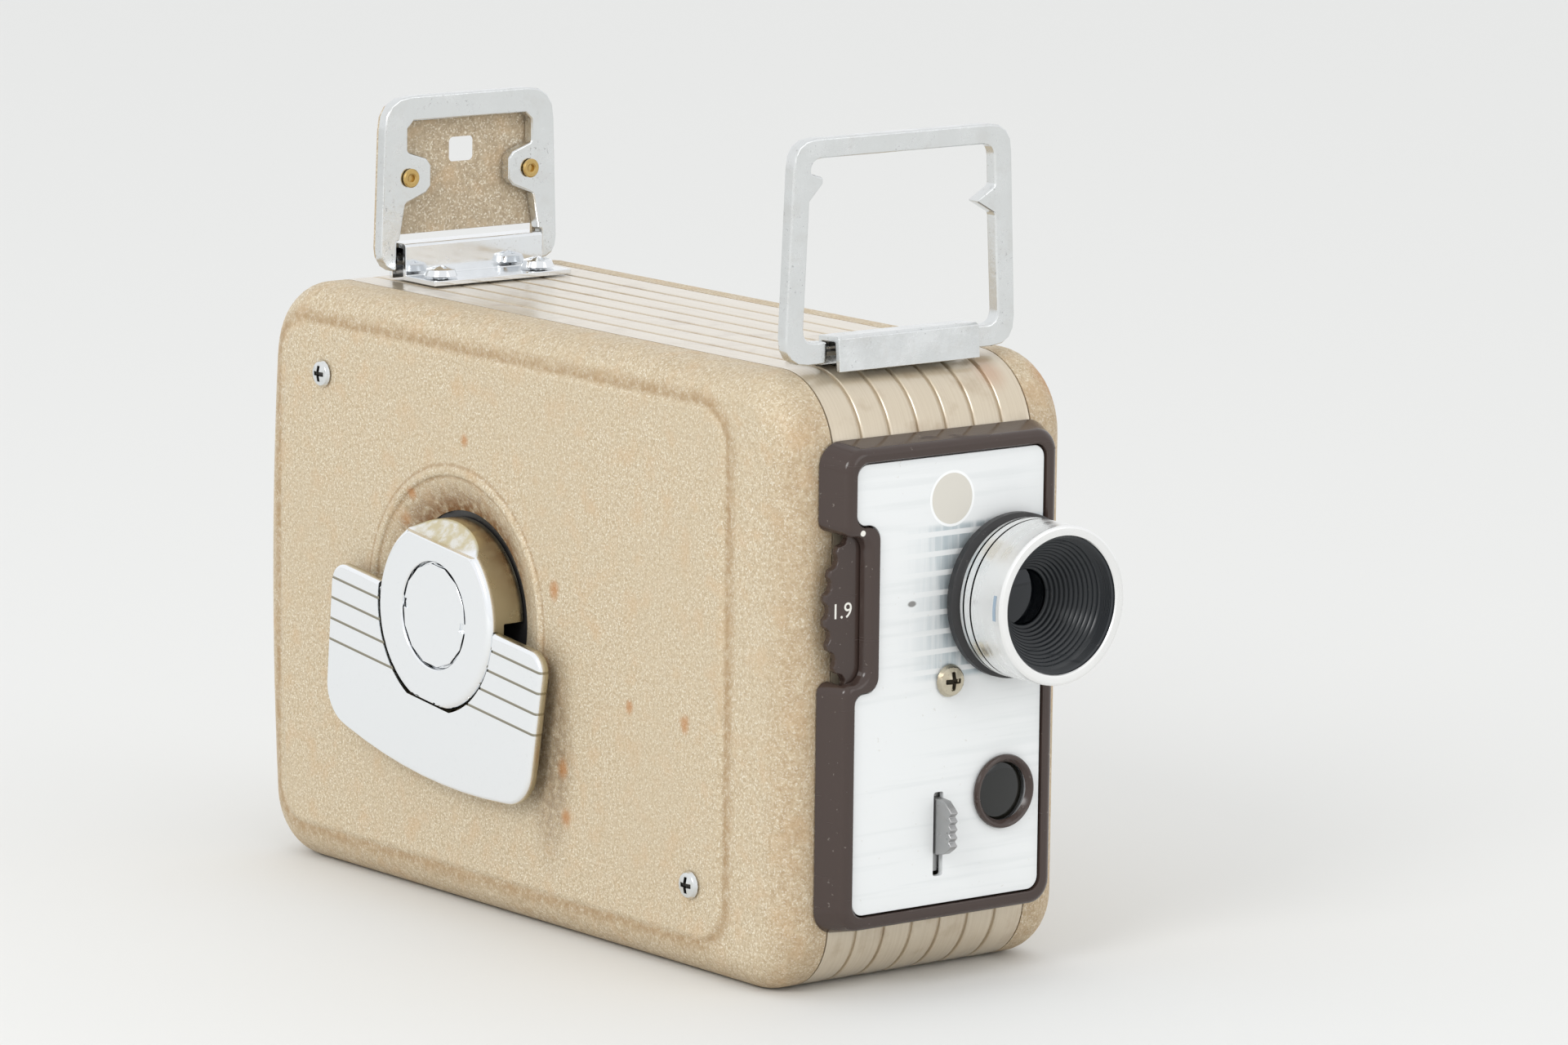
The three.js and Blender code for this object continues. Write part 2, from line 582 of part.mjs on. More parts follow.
function finderRivet(x) {
  const f = REAR_FINDER;
  const [head, tail] = [f.y - GAP, f.y + f.thick + 1 + GAP];
  const front = [[0, head - 0.4], [1.5, head - 0.4], [1.7, head], [1, head]];
  const back = [[1, tail], [1.9, tail], [1.6, tail + 0.7], [0, tail + 0.7]];
  return turn("y", [x, 0, 124.1], [...front, ...back], 14);
}

function rearFinderBracket() {
  const s = BRACKET.sheet;
  const [front, back, base, crown] = [51.5, 56.6, BODY.height + GAP, 112.4];
  const behind = [[back, base], [back, crown - 0.5], [back - 0.5, crown]];
  const ahead = [[front + 0.4, crown], [front, crown - 0.4], [front, base + s]];
  const foot = [[BRACKET.foot, base + s], [BRACKET.foot, base], [front + s, base]];
  const inner = [[front + s, crown - s], [back - s, crown - s], [back - s, base]];
  const outline = polygon([...behind, ...ahead, ...foot, ...inner]);
  const sheet = pullX(outline, -HINGE.halfWidth, HINGE.halfWidth);
  const holes = [-1, 1].map((side) => rod("z", [side * BRACKET.screwX, BRACKET.screwY, 0], 1.7, 104, 110, 12));
  return cut(sheet, ...holes);
}

function bracketScrew(side) {
  const seat = BODY.height + BRACKET.sheet + 2 * GAP;
  const at = [side * BRACKET.screwX, BRACKET.screwY, 0];
  return crossHead("z", at, seat, 1, BRACKET.headRadius, 2, 1.3, 1.1);
}

// ---- Winding key ----

const keyAt = [0, KEY.y, KEY.z];

// Places an outline drawn in the key's own (along, up) directions, tilted with the key.
function pullKey(shape, x0, x1, segments = 8) {
  const geometry = extruded(shape, x1 - x0, segments);
  geometry.rotateZ(KEY.tilt);
  const turnUp = new THREE.Matrix4().set(0, 0, 1, x0, 1, 0, 0, KEY.y, 0, 1, 0, KEY.z, 0, 0, 0, 1);
  return solid(geometry.applyMatrix4(turnUp));
}

// A disc with its lower edge cut straight.
function flattedDisc(radius, flat) {
  const angle = Math.asin(flat / radius);
  const shape = new THREE.Shape();
  shape.absarc(0, 0, radius, -angle, Math.PI + angle);
  return shape;
}

function keyHub() {
  const deepHalf = new THREE.Shape();
  deepHalf.absarc(0, 0, KEY.radius, 0.16, Math.PI - 0.16);
  const flange = pullKey(flattedDisc(KEY.radius, KEY.flat), KEY.face, -32.6, 12);
  const body = pullKey(deepHalf, KEY.face + 1, -28.4, 10);
  const pocket = rod("x", keyAt, 9.5, KEY.face - 1, KEY.face + 1.4, 28);
  const bore = rod("x", keyAt, 3.4, -40, -20, 16);
  const scallop = new THREE.CylinderGeometry(6, 6, 30, 20);
  scallop.translate(KEY.face - 2.1, 0, KEY.radius + 1.7);
  scallop.rotateX(KEY.tilt);
  scallop.translate(0, KEY.y, KEY.z);
  return cut(join(flange, body), pocket, bore, solid(scallop));
}

function keyCap() {
  const plug = pullKey(circle(0, 0, 9.2), KEY.face + 0.2, KEY.face + 1.1, 7);
  const notches = [-8.8, 8.8].map((middle) => {
    const slot = roundedRectangle(middle - 1, middle + 1, -0.8, 0.8, 0.3);
    return pullKey(slot, KEY.face - 1, KEY.face + 0.7);
  });
  return cut(plug, ...notches);
}

function keyPaddle() {
  const p = PADDLE;
  const shape = new THREE.Shape();
  const clear = KEY.radius + 0.5;
  shape.moveTo(clear, p.shoulder);
  shape.lineTo(p.halfWidth - 4, p.shoulder);
  shape.quadraticCurveTo(p.halfWidth, p.shoulder, p.halfWidth, p.shoulder - 4);
  shape.lineTo(p.footWidth, p.side);
  shape.quadraticCurveTo(p.footWidth - 0.6, -26.4, 25, -27.4);
  shape.quadraticCurveTo(0, 2 * p.foot + 27.4, -25, -27.4);
  shape.quadraticCurveTo(-p.footWidth + 0.6, -26.4, -p.footWidth, p.side);
  shape.lineTo(-p.halfWidth, p.shoulder - 4);
  shape.quadraticCurveTo(-p.halfWidth, p.shoulder, -p.halfWidth + 4, p.shoulder);
  shape.lineTo(-clear, p.shoulder);
  const flatClear = KEY.flat + 0.5;
  const angle = Math.asin(flatClear / clear);
  shape.absarc(0, 0, clear, Math.PI, Math.PI + angle);
  shape.absarc(0, 0, clear, 2 * Math.PI - angle, 2 * Math.PI);
  const plate = pullKey(shape, p.outer, p.inner, 8);
  const axis = (p.outer + p.inner) / 2;
  const holes = [-1, 1].map((side) => keyRod(side * (KEY.radius + 4.5), side * (KEY.radius - 1), axis, 0.9));
  return cut(plate, ...holes);
}

// A small rod lying along the key's own length, between two distances from its middle.
function keyRod(from, to, x, radius) {
  const geometry = new THREE.CylinderGeometry(radius, radius, Math.abs(to - from), 10);
  geometry.translate(0, (from + to) / 2, 0);
  geometry.rotateX(KEY.tilt);
  return solid(geometry.translate(x, KEY.y, KEY.z));
}

// ---- Spring motor ----

function windingArbor() {
  const step = SEPTUM.left - GAP;
  return turn("x", keyAt, [[0, -34.2], [3, -34.2], [3, -25], [2.9, step], [1.5, step], [1.5, 0], [0, 0]], 16);
}

function springBarrel() {
  const { left, right, radius, gearRadius } = BARREL;
  const inside = [[4, right - 1.2], [radius - 1.2, right - 1.2], [radius - 1.2, left]];
  const cup = turn("x", keyAt, [[radius, left], [radius, right], [4, right], ...inside, [radius, left]], 24);
  const outline = gearOutline(KEY.y, KEY.z, 32, gearRadius, gearRadius - 1.6);
  outline.holes.push(circle(KEY.y, KEY.z, radius - 0.8));
  return join(cup, pullX(outline, right - 1.6, right, 12));
}

// A flat spiral strip, wound from the arbor out to the barrel wall.
function mainspring() {
  const turns = 4.5;
  const steps = 54;
  const [inner, outer, strip] = [4.4, 23.4, 0.7];
  const side = (offset) => Array.from({ length: steps + 1 }, (_, i) => {
    const angle = (i / steps) * turns * 2 * Math.PI;
    const r = inner + ((outer - inner) * i) / steps + offset;
    return [KEY.y + r * Math.cos(angle), KEY.z + r * Math.sin(angle)];
  });
  return pullX(polygon([...side(strip), ...side(0).reverse()]), BARREL.left + 0.4, BARREL.right - 1.8);
}

function stageOneGear() {
  const { y, z, pinionRadius, wheelRadius } = STAGE_ONE;
  const pinion = pullX(gearOutline(y, z, 8, pinionRadius, pinionRadius - 1.3), -14, -11);
  const wheel = pullX(gearOutline(y, z, 20, wheelRadius, wheelRadius - 1.3), -10.6, -9);
  return join(pinion, wheel, rod("x", [0, y, z], 1.5, -26, -0.2, 12));
}

function crownGear() {
  const { y, z, pinionRadius, rimRadius } = CROWN;
  const pinion = pullX(gearOutline(y, z, 8, pinionRadius, pinionRadius - 1.1), -11, -8.4);
  const outside = [[0, -8], [rimRadius, -8], [rimRadius, -3.2]];
  const inside = [[rimRadius - 1.2, -3.2], [rimRadius - 1.2, -7], [0, -7]];
  const dish = turn("x", [0, y, z], [...outside, ...inside], 16);
  return join(pinion, dish, rod("x", [0, y, z], 1.4, -26, -4, 12));
}

function shutterShaft() {
  const at = [SHUTTER.x, 0, SHUTTER.z];
  const shaft = turn("y", at, [[0, -79.6], [1.4, -79.6], [1.4, -45.5], [0, -45.5]], 12);
  const pinion = pullY(gearOutline(SHUTTER.x, SHUTTER.z, 8, 2.8, 1.9), -49, -45.6);
  const cam = pullY(circle(SHUTTER.x + 1, SHUTTER.z, 3), -66, -63.5, 5);
  return join(shaft, pinion, cam);
}

function shutterDisc() {
  const shape = new THREE.Shape();
  const { x, z, radius, front, back } = SHUTTER;
  shape.absarc(x, z, radius, -0.6, 4.2);
  shape.absarc(x, z, 4.4, 4.2, 5.68);
  shape.holes.push(circle(x, z, 1.7));
  return pullY(shape, front, back, 9);
}

function governor() {
  const lowWeight = [[0, 16], [1.2, 16], [1.2, 22], [5.5, 23], [5.5, 25], [1.6, 27]];
  const highWeight = [[1.6, 31], [7.6, 33], [7.6, 36], [1.2, 38], [1.2, 46], [0, 46]];
  return turn("z", [-14, -52, 0], [...lowWeight, ...highWeight], 12);
}

function claw() {
  const arm = block(4.5, 6.2, -68.6, -61, 56, 72);
  const link = block(4.5, 9.3, -70.8, -68.4, 64, 66.2);
  const finger = block(7.9, 9.3, -72.9, -70.6, 64.6, 65.6);
  return join(arm, link, finger);
}

function filmGate() {
  const outline = roundedRectangle(3, 20.4, 50, 83, 1);
  outline.holes.push(roundedRectangle(LENS.x - 2.4, LENS.x + 2.4, LENS.z - 1.8, LENS.z + 1.8, 0.3));
  outline.holes.push(roundedRectangle(7.4, 9.8, 60, 71, 0.3));
  return pullY(outline, GATE.front, GATE.back, 1);
}

function pressurePlate() {
  const plate = block(10.4, 18.6, GATE.back + 0.5, GATE.back + 1.7, 54, 79);
  return join(plate, rod("y", lensAt, 3, GATE.back + 1.6, GATE.back + 5, 14));
}

function spindle([y, z], flange) {
  const foot = [[0, -0.2], [2, -0.2], [2, 0.6], [flange, 0.6], [flange, 1.8]];
  return turn("x", [0, y, z], [...foot, [3, 1.8], [3, 17], [1.6, 18.6], [0, 18.6]], 12);
}

// ---- Film door fittings and tripod bush ----

function latchKnob() {
  const face = BODY.halfWidth + GAP;
  const { y, z, radius, height } = LATCH;
  const dish = [[0, face], [radius, face], [radius, face + 1], [radius - 0.6, face + 1.5], [0, face + 1.5]];
  const bar = roundedRectangle(y - radius + 1, y + radius - 1, z - 1.6, z + 1.6, 1.4);
  const grip = pullX(bar, face + 1, face + height);
  return join(turn("x", [0, y, z], dish, 20), grip, rod("x", [0, y, z], 2.8, face - 3.4, face + 0.5, 14));
}

function latchBar() {
  const inside = BODY.halfWidth - 3.2;
  const bar = roundedRectangle(LATCH.y - 42, LATCH.y + 42, LATCH.z - 3, LATCH.z + 3, 2.5);
  return pullX(bar, inside - 1.2, inside - 0.2);
}

function tripodBush() {
  const { y, radius, bore, height } = TRIPOD;
  const inner = BAND.wall + GAP;
  const collar = [[radius, inner], [radius + 2.5, inner], [radius + 2.5, inner + 1.2], [radius, inner + 1.2]];
  const profile = [[bore, 0.2], [radius, 0.2], ...collar, [radius, height], [bore, height], [bore, 0.2]];
  return turn("z", [0, y, 0], profile, 16);
}

function counterDial() {
  const face = BODY.halfWidth - SHELL.wall - 0.9;
  const at = [0, COUNTER.y, COUNTER.z];
  return cut(rod("x", at, COUNTER.radius, face - 1, face, 20), rod("x", at, 1, face - 2, face + 1, 8));
}

function counterWindow() {
  const face = BODY.halfWidth;
  return rod("x", [0, COUNTER.y, COUNTER.z], COUNTER.radius - 4 - GAP, face - 0.9, face - 0.1, 20);
}

// ---- Assembly ----

add("body_band", bodyBand(), "band");
add("mechanism_cover", mechanismCover(), "enamel");
add("film_door", filmDoor(), "enamel");
add("mechanism_plate", mechanismPlate(), "steel");
add("motor_bridge", motorBridge(), "brass");
for (const [name, [y, z]] of Object.entries(pillars)) {
  add(name, rod("x", [0, y, z], 2.4, -26.3, SEPTUM.left - GAP, 12), "steel");
}
add("tripod_bush", tripodBush(), "steel");
coverScrews.forEach((at, i) => add(i ? "cover_screw_front" : "cover_screw_rear", coverScrew(at), "nickel"));

add("front_bezel", frontBezel(), "bezel");
add("front_plate", frontPlate(), "white");
add("plate_screw", crossHead("y", [0, 0, 52.9], PLATE.front - GAP, -1, 2.9, 1.5, 1.3, 1.5), "nickel");
add("exposure_wheel", exposureWheel(), "black");
add("exposure_stud", rod("y", [WHEEL.x, 0, WHEEL.z], 1.5, WHEEL.front - GAP, BODY.front - GAP, 12), "steel");
add("release_lever", releaseLever(), "steel");
add("release_spring", releaseSpring(), "steel");
add("window_ring", tube("y", [WINDOW.x, 0, WINDOW.z], 5, WINDOW.radius, -86.2, PLATE.front - GAP, 28), "bezel");
add("window_glass", rod("y", [WINDOW.x, 0, WINDOW.z], 5.3, -84.6, -83.8, 24), "glass");

add("lens_base_ring", lensBaseRing(), "black");
add("lens_barrel", lensBarrel(), "aluminium");
add("lens_hood_cone", lensHoodCone(), "black");
add("front_element", element(7.5, -89.3, -88.5, 0.9), "glass");
add("rear_element", element(4.9, -86.5, -85.3, 0.5), "glass");

add("front_finder_frame", frontFinderFrame(), "chrome");
add("front_finder_clip", frontFinderClip(), "chrome");
add("rear_finder_frame", rearFinderFrame(), "chrome");
add("rear_finder_plate", rearFinderPlate(), "tan");
add("finder_rivet_left", finderRivet(-13.3), "brass");
add("finder_rivet_right", finderRivet(13.3), "brass");
add("rear_finder_bracket", rearFinderBracket(), "chrome");
add("bracket_screw_left", bracketScrew(-1), "chrome");
add("bracket_screw_right", bracketScrew(1), "chrome");

add("key_hub", keyHub(), "chrome");
add("key_cap", keyCap(), "chrome");
add("key_paddle", keyPaddle(), "chrome");
const paddleMiddle = (PADDLE.outer + PADDLE.inner) / 2;
for (const [name, side] of [["key_pin_rear", 1], ["key_pin_front", -1]]) {
  add(name, keyRod(side * (KEY.radius + GAP), side * (KEY.radius + 4), paddleMiddle, 0.6), "steel");
}

add("winding_arbor", windingArbor(), "steel");
add("spring_barrel", springBarrel(), "brass");
add("mainspring", mainspring(), "steel");
add("stage_one_gear", stageOneGear(), "brass");
add("crown_gear", crownGear(), "brass");
add("shutter_shaft", shutterShaft(), "steel");
add("shutter_disc", shutterDisc(), "black");
add("governor", governor(), "brass");
add("claw", claw(), "steel");
add("film_gate", filmGate(), "steel");
add("pressure_plate", pressurePlate(), "steel");
add("supply_spindle", spindle(SPOOLS.supply, 7), "steel");
add("takeup_spindle", spindle(SPOOLS.takeup, 9), "steel");

add("latch_knob", latchKnob(), "chrome");
add("latch_bar", latchBar(), "steel");
add("counter_dial", counterDial(), "white");
add("counter_window", counterWindow(), "glass");

export default camera;
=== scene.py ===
# %% [markdown]
# # A spring-wound cine camera
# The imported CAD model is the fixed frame: it says where every part is and how it moves. This
# lesson gives that frame its looks. Lengths are written in millimetres, as on a drawing, and
# turned into Blender's metres by one constant, so a reader can hold a ruler against them.

# %% Load the frame
import math

import bmesh
import bpy
from mathutils import Matrix, Vector


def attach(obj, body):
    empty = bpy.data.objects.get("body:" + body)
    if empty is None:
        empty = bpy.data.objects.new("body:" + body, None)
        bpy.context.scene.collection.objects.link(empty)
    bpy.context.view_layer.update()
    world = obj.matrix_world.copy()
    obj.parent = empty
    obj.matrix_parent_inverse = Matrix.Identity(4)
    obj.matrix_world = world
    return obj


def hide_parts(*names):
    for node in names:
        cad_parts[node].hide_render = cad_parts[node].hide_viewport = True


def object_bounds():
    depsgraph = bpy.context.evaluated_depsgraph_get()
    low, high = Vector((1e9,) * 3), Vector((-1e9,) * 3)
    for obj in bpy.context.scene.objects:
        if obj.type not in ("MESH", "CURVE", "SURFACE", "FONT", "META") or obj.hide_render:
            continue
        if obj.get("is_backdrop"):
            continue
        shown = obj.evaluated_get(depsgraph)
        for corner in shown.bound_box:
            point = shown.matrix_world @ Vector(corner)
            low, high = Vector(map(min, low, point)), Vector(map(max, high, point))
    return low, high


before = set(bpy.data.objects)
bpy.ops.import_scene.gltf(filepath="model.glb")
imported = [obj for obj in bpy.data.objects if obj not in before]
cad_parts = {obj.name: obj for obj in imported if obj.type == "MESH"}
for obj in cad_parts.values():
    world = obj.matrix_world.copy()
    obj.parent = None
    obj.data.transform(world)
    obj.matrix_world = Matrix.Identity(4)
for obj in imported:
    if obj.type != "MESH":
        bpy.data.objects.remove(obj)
cad_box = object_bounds()
MM = 0.001
print("CAD box in mm:", [[round(v / MM, 1) for v in corner] for corner in cad_box])

# %% [markdown]
# ## The camera that looks at it
# A long lens from about 1.3 m keeps the parallel edges of a small box nearly parallel, which is
# how such objects are usually shown. The viewpoint is written as a direction and a distance from
# a point on the object, because those can be judged by eye; a slight roll levels the picture.

# %% Place the viewpoint
VIEW_TARGET = Vector((-35.8, -85.1, 83.4)) * MM
VIEW_DISTANCE = 1322 * MM
VIEW_AZIMUTH = math.radians(-38.24)
VIEW_ELEVATION = math.radians(9.82)
VIEW_ROLL = math.radians(0.686)
VIEW_LENS = 183.8

away = Vector((
    math.sin(VIEW_AZIMUTH) * math.cos(VIEW_ELEVATION),
    -math.cos(VIEW_AZIMUTH) * math.cos(VIEW_ELEVATION),
    math.sin(VIEW_ELEVATION),
))
viewer = bpy.data.objects.new("viewer", bpy.data.cameras.new("viewer"))
viewer.data.sensor_width = 36
viewer.data.lens = VIEW_LENS
viewer.location = VIEW_TARGET + away * VIEW_DISTANCE
viewer.rotation_euler = (
    away.to_track_quat("Z", "Y").to_matrix() @ Matrix.Rotation(VIEW_ROLL, 3, "Z")
).to_euler()
bpy.context.scene.collection.objects.link(viewer)
bpy.context.scene.camera = viewer
print("camera at", [round(v, 3) for v in viewer.location])

# %% [markdown]
# ## Helpers for shaping
# Nearly every part here is one of three things: a rounded outline pulled straight, a profile
# spun round an axis, or a CAD part whose edges want softening. Each gets one small helper that
# leans on bmesh operators. An outline is drawn flat, then stood up on the side or the front.

# %% Directions that a flat drawing can be stood up in
ON_SIDE = Matrix(((0, 0, 1, 0), (1, 0, 0, 0), (0, 1, 0, 0), (0, 0, 0, 1)))
ON_FRONT = Matrix(((1, 0, 0, 0), (0, 0, 1, 0), (0, 1, 0, 0), (0, 0, 0, 1)))
ON_TOP = Matrix.Identity(4)


def moved(x, y, z):
    """A shift, in millimetres."""
    return Matrix.Translation(Vector((x, y, z)) * MM)


def settled(bm, place=ON_TOP):
    """Puts a closed shape in place and turns its faces outwards, which a mirroring undoes."""
    bm.transform(place)
    bm.normal_update()
    bmesh.ops.recalc_face_normals(bm, faces=bm.faces)
    if bm.calc_volume(signed=True) < 0:
        bmesh.ops.reverse_faces(bm, faces=bm.faces)
    return bm


# %% Draw a flat outline with rounded corners
def flat_outline(corners, radii, height, steps=8):
    """A bmesh of one face through the corners, each rounded by its own radius."""
    bm = bmesh.new()
    ring = [bm.verts.new(Vector((a, b, height)) * MM) for a, b in corners]
    bm.faces.new(ring)
    for corner, radius in zip(ring, radii):
        if radius:
            bmesh.ops.bevel(
                bm, geom=[corner], offset=radius * MM, offset_type="OFFSET", segments=steps,
                profile=0.5, affect="VERTICES", material=-1, clamp_overlap=False,
            )
    return bm


def pull_out(bm, distance):
    """Pulls the whole flat face along its height, and returns the far side's corners."""
    grown = bmesh.ops.extrude_face_region(bm, geom=list(bm.faces))["geom"]
    far_side = [part for part in grown if isinstance(part, bmesh.types.BMVert)]
    bmesh.ops.translate(bm, verts=far_side, vec=(0, 0, distance * MM))
    return far_side


def pulled(corners, radii, low, high, place):
    """The outline pulled from low to high into a solid, then put in place."""
    bm = flat_outline(corners, radii, low)
    pull_out(bm, high - low)
    return settled(bm, place)


# %% Spin a profile round an axis
MERGE = 1e-6


def spun(profile, place, steps=96):
    """The profile, a string of (radius, height) points, turned once round its axis."""
    bm = bmesh.new()
    points = [bm.verts.new(Vector((radius, 0, height)) * MM) for radius, height in profile]
    lines = [bm.edges.new(pair) for pair in zip(points, points[1:])]
    bmesh.ops.spin(
        bm, geom=points + lines, cent=(0, 0, 0), axis=(0, 0, 1), angle=math.tau, steps=steps,
        use_merge=True, use_duplicate=False,
    )
    bmesh.ops.remove_doubles(bm, verts=bm.verts, dist=MERGE)
    return settled(bm, place)


def rod(radius, low, high, place, steps=96):
    """A plain solid rod, which is mostly used as a cutter."""
    return spun([(0, low), (radius, low), (radius, high), (0, high)], place, steps)


# %% Round off sharp edges
def soften(bm, width, steps=3, crisp=40, only=None):
    """Bevels the edges that turn by more than `crisp` degrees, or those that `only` accepts."""
    edges = [
        edge for edge in bm.edges
        if len(edge.link_faces) == 2 and edge.calc_face_angle() > math.radians(crisp)
        and (only is None or only(edge))
    ]
    bmesh.ops.bevel(
        bm, geom=edges, offset=width * MM, offset_type="OFFSET", segments=steps, profile=0.5,
        affect="EDGES", material=-1, clamp_overlap=False, loop_slide=True, miter_outer="ARC",
    )
    return bm


def cad_copy(node):
    """A merged copy of a CAD part, with the triangles of each flat side joined again."""
    bm = bmesh.new()
    bm.from_mesh(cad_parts[node].data)
    bmesh.ops.remove_doubles(bm, verts=bm.verts, dist=2e-6)
    bmesh.ops.dissolve_limit(
        bm, angle_limit=math.radians(0.4), use_dissolve_boundaries=False,
        verts=bm.verts, edges=bm.edges,
    )
    return bm


# %% Cut one solid out of another
def lone_object(name, bm):
    mesh = bpy.data.meshes.new(name)
    bm.to_mesh(mesh)
    bm.free()
    made = bpy.data.objects.new(name, mesh)
    bpy.context.scene.collection.objects.link(made)
    return made


def carved(bm, *tools):
    """The solid with every tool cut away, by the Boolean modifier, as a new bmesh."""
    block = lone_object("block", bm)
    cutters = [lone_object("tool", tool) for tool in tools]
    for cutter in cutters:
        change = block.modifiers.new("cut", "BOOLEAN")
        change.object = cutter
        change.operation = "DIFFERENCE"
        change.solver = "EXACT"
    evaluated = block.evaluated_get(bpy.context.evaluated_depsgraph_get())
    result = bmesh.new()
    result.from_mesh(evaluated.to_mesh())
    evaluated.to_mesh_clear()
    for used in [block, *cutters]:
        mesh = used.data
        bpy.data.objects.remove(used)
        bpy.data.meshes.remove(mesh)
    return result


# %% Turn a bmesh into a finished piece
def make_piece(name, bm, body, finish, stands_for=(), crisp=30):
    """Shades a shape smooth except at its crisp edges, and lets it ride on a body."""
    bmesh.ops.remove_doubles(bm, verts=bm.verts, dist=MERGE)
    piece = lone_object(name, bm)
    piece.data.shade_smooth()
    piece.data.set_sharp_from_angle(angle=math.radians(crisp))
    weighted = piece.modifiers.new("even shading", "WEIGHTED_NORMAL")
    weighted.keep_sharp = True
    piece.data.materials.append(finish)
    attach(piece, body)
    if stands_for:
        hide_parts(*stands_for)
    print(name, len(piece.data.polygons), "faces, on", body)


# %% [markdown]
# ## Helpers for finishes
# A finish is a small node tree on the Principled shader. Patterns read Object coordinates, which
# are the same metres as the drawing because every object sits at the origin. Writing each node
# by hand takes many lines, so short helpers return the socket that carries on.

# %% Node helpers
def new_finish(name, colour, roughness, metallic=0.0, **extra):
    """A material with its constant values set on the shader's own sockets."""
    material = bpy.data.materials.new(name)
    material.use_nodes = True
    shader = material.node_tree.nodes["Principled BSDF"]
    shader.inputs["Base Color"].default_value = (*colour, 1)
    shader.inputs["Roughness"].default_value = roughness
    shader.inputs["Metallic"].default_value = metallic
    for socket, value in extra.items():
        shader.inputs[socket.replace("_", " ")].default_value = value
    return material, material.node_tree, shader


def node(tree, kind, inputs=None, **settings):
    """Adds a node. An input given as a socket is linked, and any other is set."""
    made = tree.nodes.new("ShaderNode" + kind)
    for name, value in settings.items():
        setattr(made, name, value)
    for key, value in (inputs or {}).items():
        if isinstance(value, bpy.types.NodeSocket):
            tree.links.new(value, made.inputs[key])
        else:
            made.inputs[key].default_value = value
    return made


def place_of(tree):
    return node(tree, "TexCoord").outputs["Object"]


def grain(tree, size, detail=2.0, stretch=(1, 1, 1), roughness=0.5):
    """Noise whose lumps are about `size` millimetres across, from 0 to 1."""
    spread = node(tree, "Mapping", {"Vector": place_of(tree), "Scale": stretch}).outputs[0]
    inputs = {"Scale": 1 / (size * MM), "Detail": detail, "Roughness": roughness}
    return node(tree, "TexNoise", {"Vector": spread, **inputs}).outputs["Fac"]


def remap(tree, value, low, high, to_low=0.0, to_high=1.0):
    """Stretches low..high to to_low..to_high with smooth ends, and clamps."""
    inputs = {"Value": value, "From Min": low, "From Max": high, "To Min": to_low, "To Max": to_high}
    return node(tree, "MapRange", inputs, interpolation_type="SMOOTHSTEP").outputs[0]


def sums(tree, operation, first, second=0.0):
    return node(tree, "Math", {0: first, 1: second}, operation=operation).outputs[0]


def mixed(tree, share, first, second):
    """The first colour, with a share of the second laid over it."""
    return node(tree, "Mix", {0: share, 6: first, 7: second}, data_type="RGBA").outputs[2]


def along(tree, axis):
    """The position along x, y or z, in millimetres."""
    parts = node(tree, "SeparateXYZ", {0: place_of(tree)})
    return sums(tree, "MULTIPLY", parts.outputs["XYZ".index(axis.upper())], 1 / MM)


def away_from(tree, point, stretch=(1, 1, 1)):
    """The distance from a point, in millimetres. A stretch above 1 narrows that direction."""
    inputs = {"Vector": place_of(tree), "Location": [-c * MM * s for c, s in zip(point, stretch)]}
    shifted = node(tree, "Mapping", {**inputs, "Scale": stretch}).outputs[0]
    length = node(tree, "VectorMath", {0: shifted}, operation="LENGTH").outputs["Value"]
    return sums(tree, "MULTIPLY", length, 1 / MM)


def outside_of(tree, middle_y, middle_z, half_y, half_z, corner):
    """How far outside a rounded rectangle on the side a point is, in millimetres."""
    reaches = []
    for axis, middle, half in [("y", middle_y, half_y), ("z", middle_z, half_z)]:
        off = sums(tree, "ABSOLUTE", sums(tree, "ADD", along(tree, axis), -middle))
        reaches.append(sums(tree, "MAXIMUM", sums(tree, "ADD", off, corner - half), 0.0))
    squares = [sums(tree, "MULTIPLY", reach, reach) for reach in reaches]
    return sums(tree, "ADD", sums(tree, "SQRT", sums(tree, "ADD", *squares)), -corner)


def relief(tree, height, depth, strength):
    """A bump as deep as `depth` millimetres."""
    inputs = {"Height": height, "Distance": depth * MM, "Strength": strength}
    return node(tree, "Bump", inputs).outputs[0]


def rgb(red, green, blue):
    """A colour picked on screen, from 0 to 255, as the linear values that shaders want."""
    channels = [c / 255 for c in (red, green, blue)]
    return tuple(c / 12.92 if c < 0.04045 else ((c + 0.055) / 1.055) ** 2.4 for c in channels)


def rgba(red, green, blue):
    return (*rgb(red, green, blue), 1)


# %% [markdown]
# ## Tan enamel
# The side shells wear a stoved wrinkle enamel: a dense crinkle well under a millimetre across,
# with a painted highlight on its crests and painted shade in its hollows, years of brown dirt and
# a few rust spots. An image texture would be quick but can't wrap a corner. Noise in metres wraps
# anything and keeps its real size.

# %% Places round which the enamel is dirtied, darkened and rusted
KEY_Y, KEY_Z, KEY_TILT = 14.0, 52.6, math.radians(7.1)
COVER_X, FRONT, HEIGHT = -31, -80.0, 105.5
PANEL_FRONT, PANEL_REAR, PANEL_LOW, PANEL_TOP, PANEL_CORNER = -62.7, 68.6, 6.7, 98.8, 7.5
RECESS_EDGES = (24.0, 26.2)
RUST_SPOTS = [
    (-31, 30.0, 66.5, 1.7), (-31, 25.0, 64.0, 2.3), (-31, 27.5, 72.0, 1.2), (-31, -15.0, 61.0, 1.7),
    (-31, -12.5, 47.0, 1.9), (-31, -19.0, 21.5, 1.6), (-31, -52.5, 43.5, 1.5), (-31, 11.5, 83.5, 1.2),
    (-31, -37.0, 44.0, 1.2), (-31, -18.0, 30.0, 1.8), (28, -73.0, 98.0, 5.5), (29, -77.0, 4.0, 2.5),
]
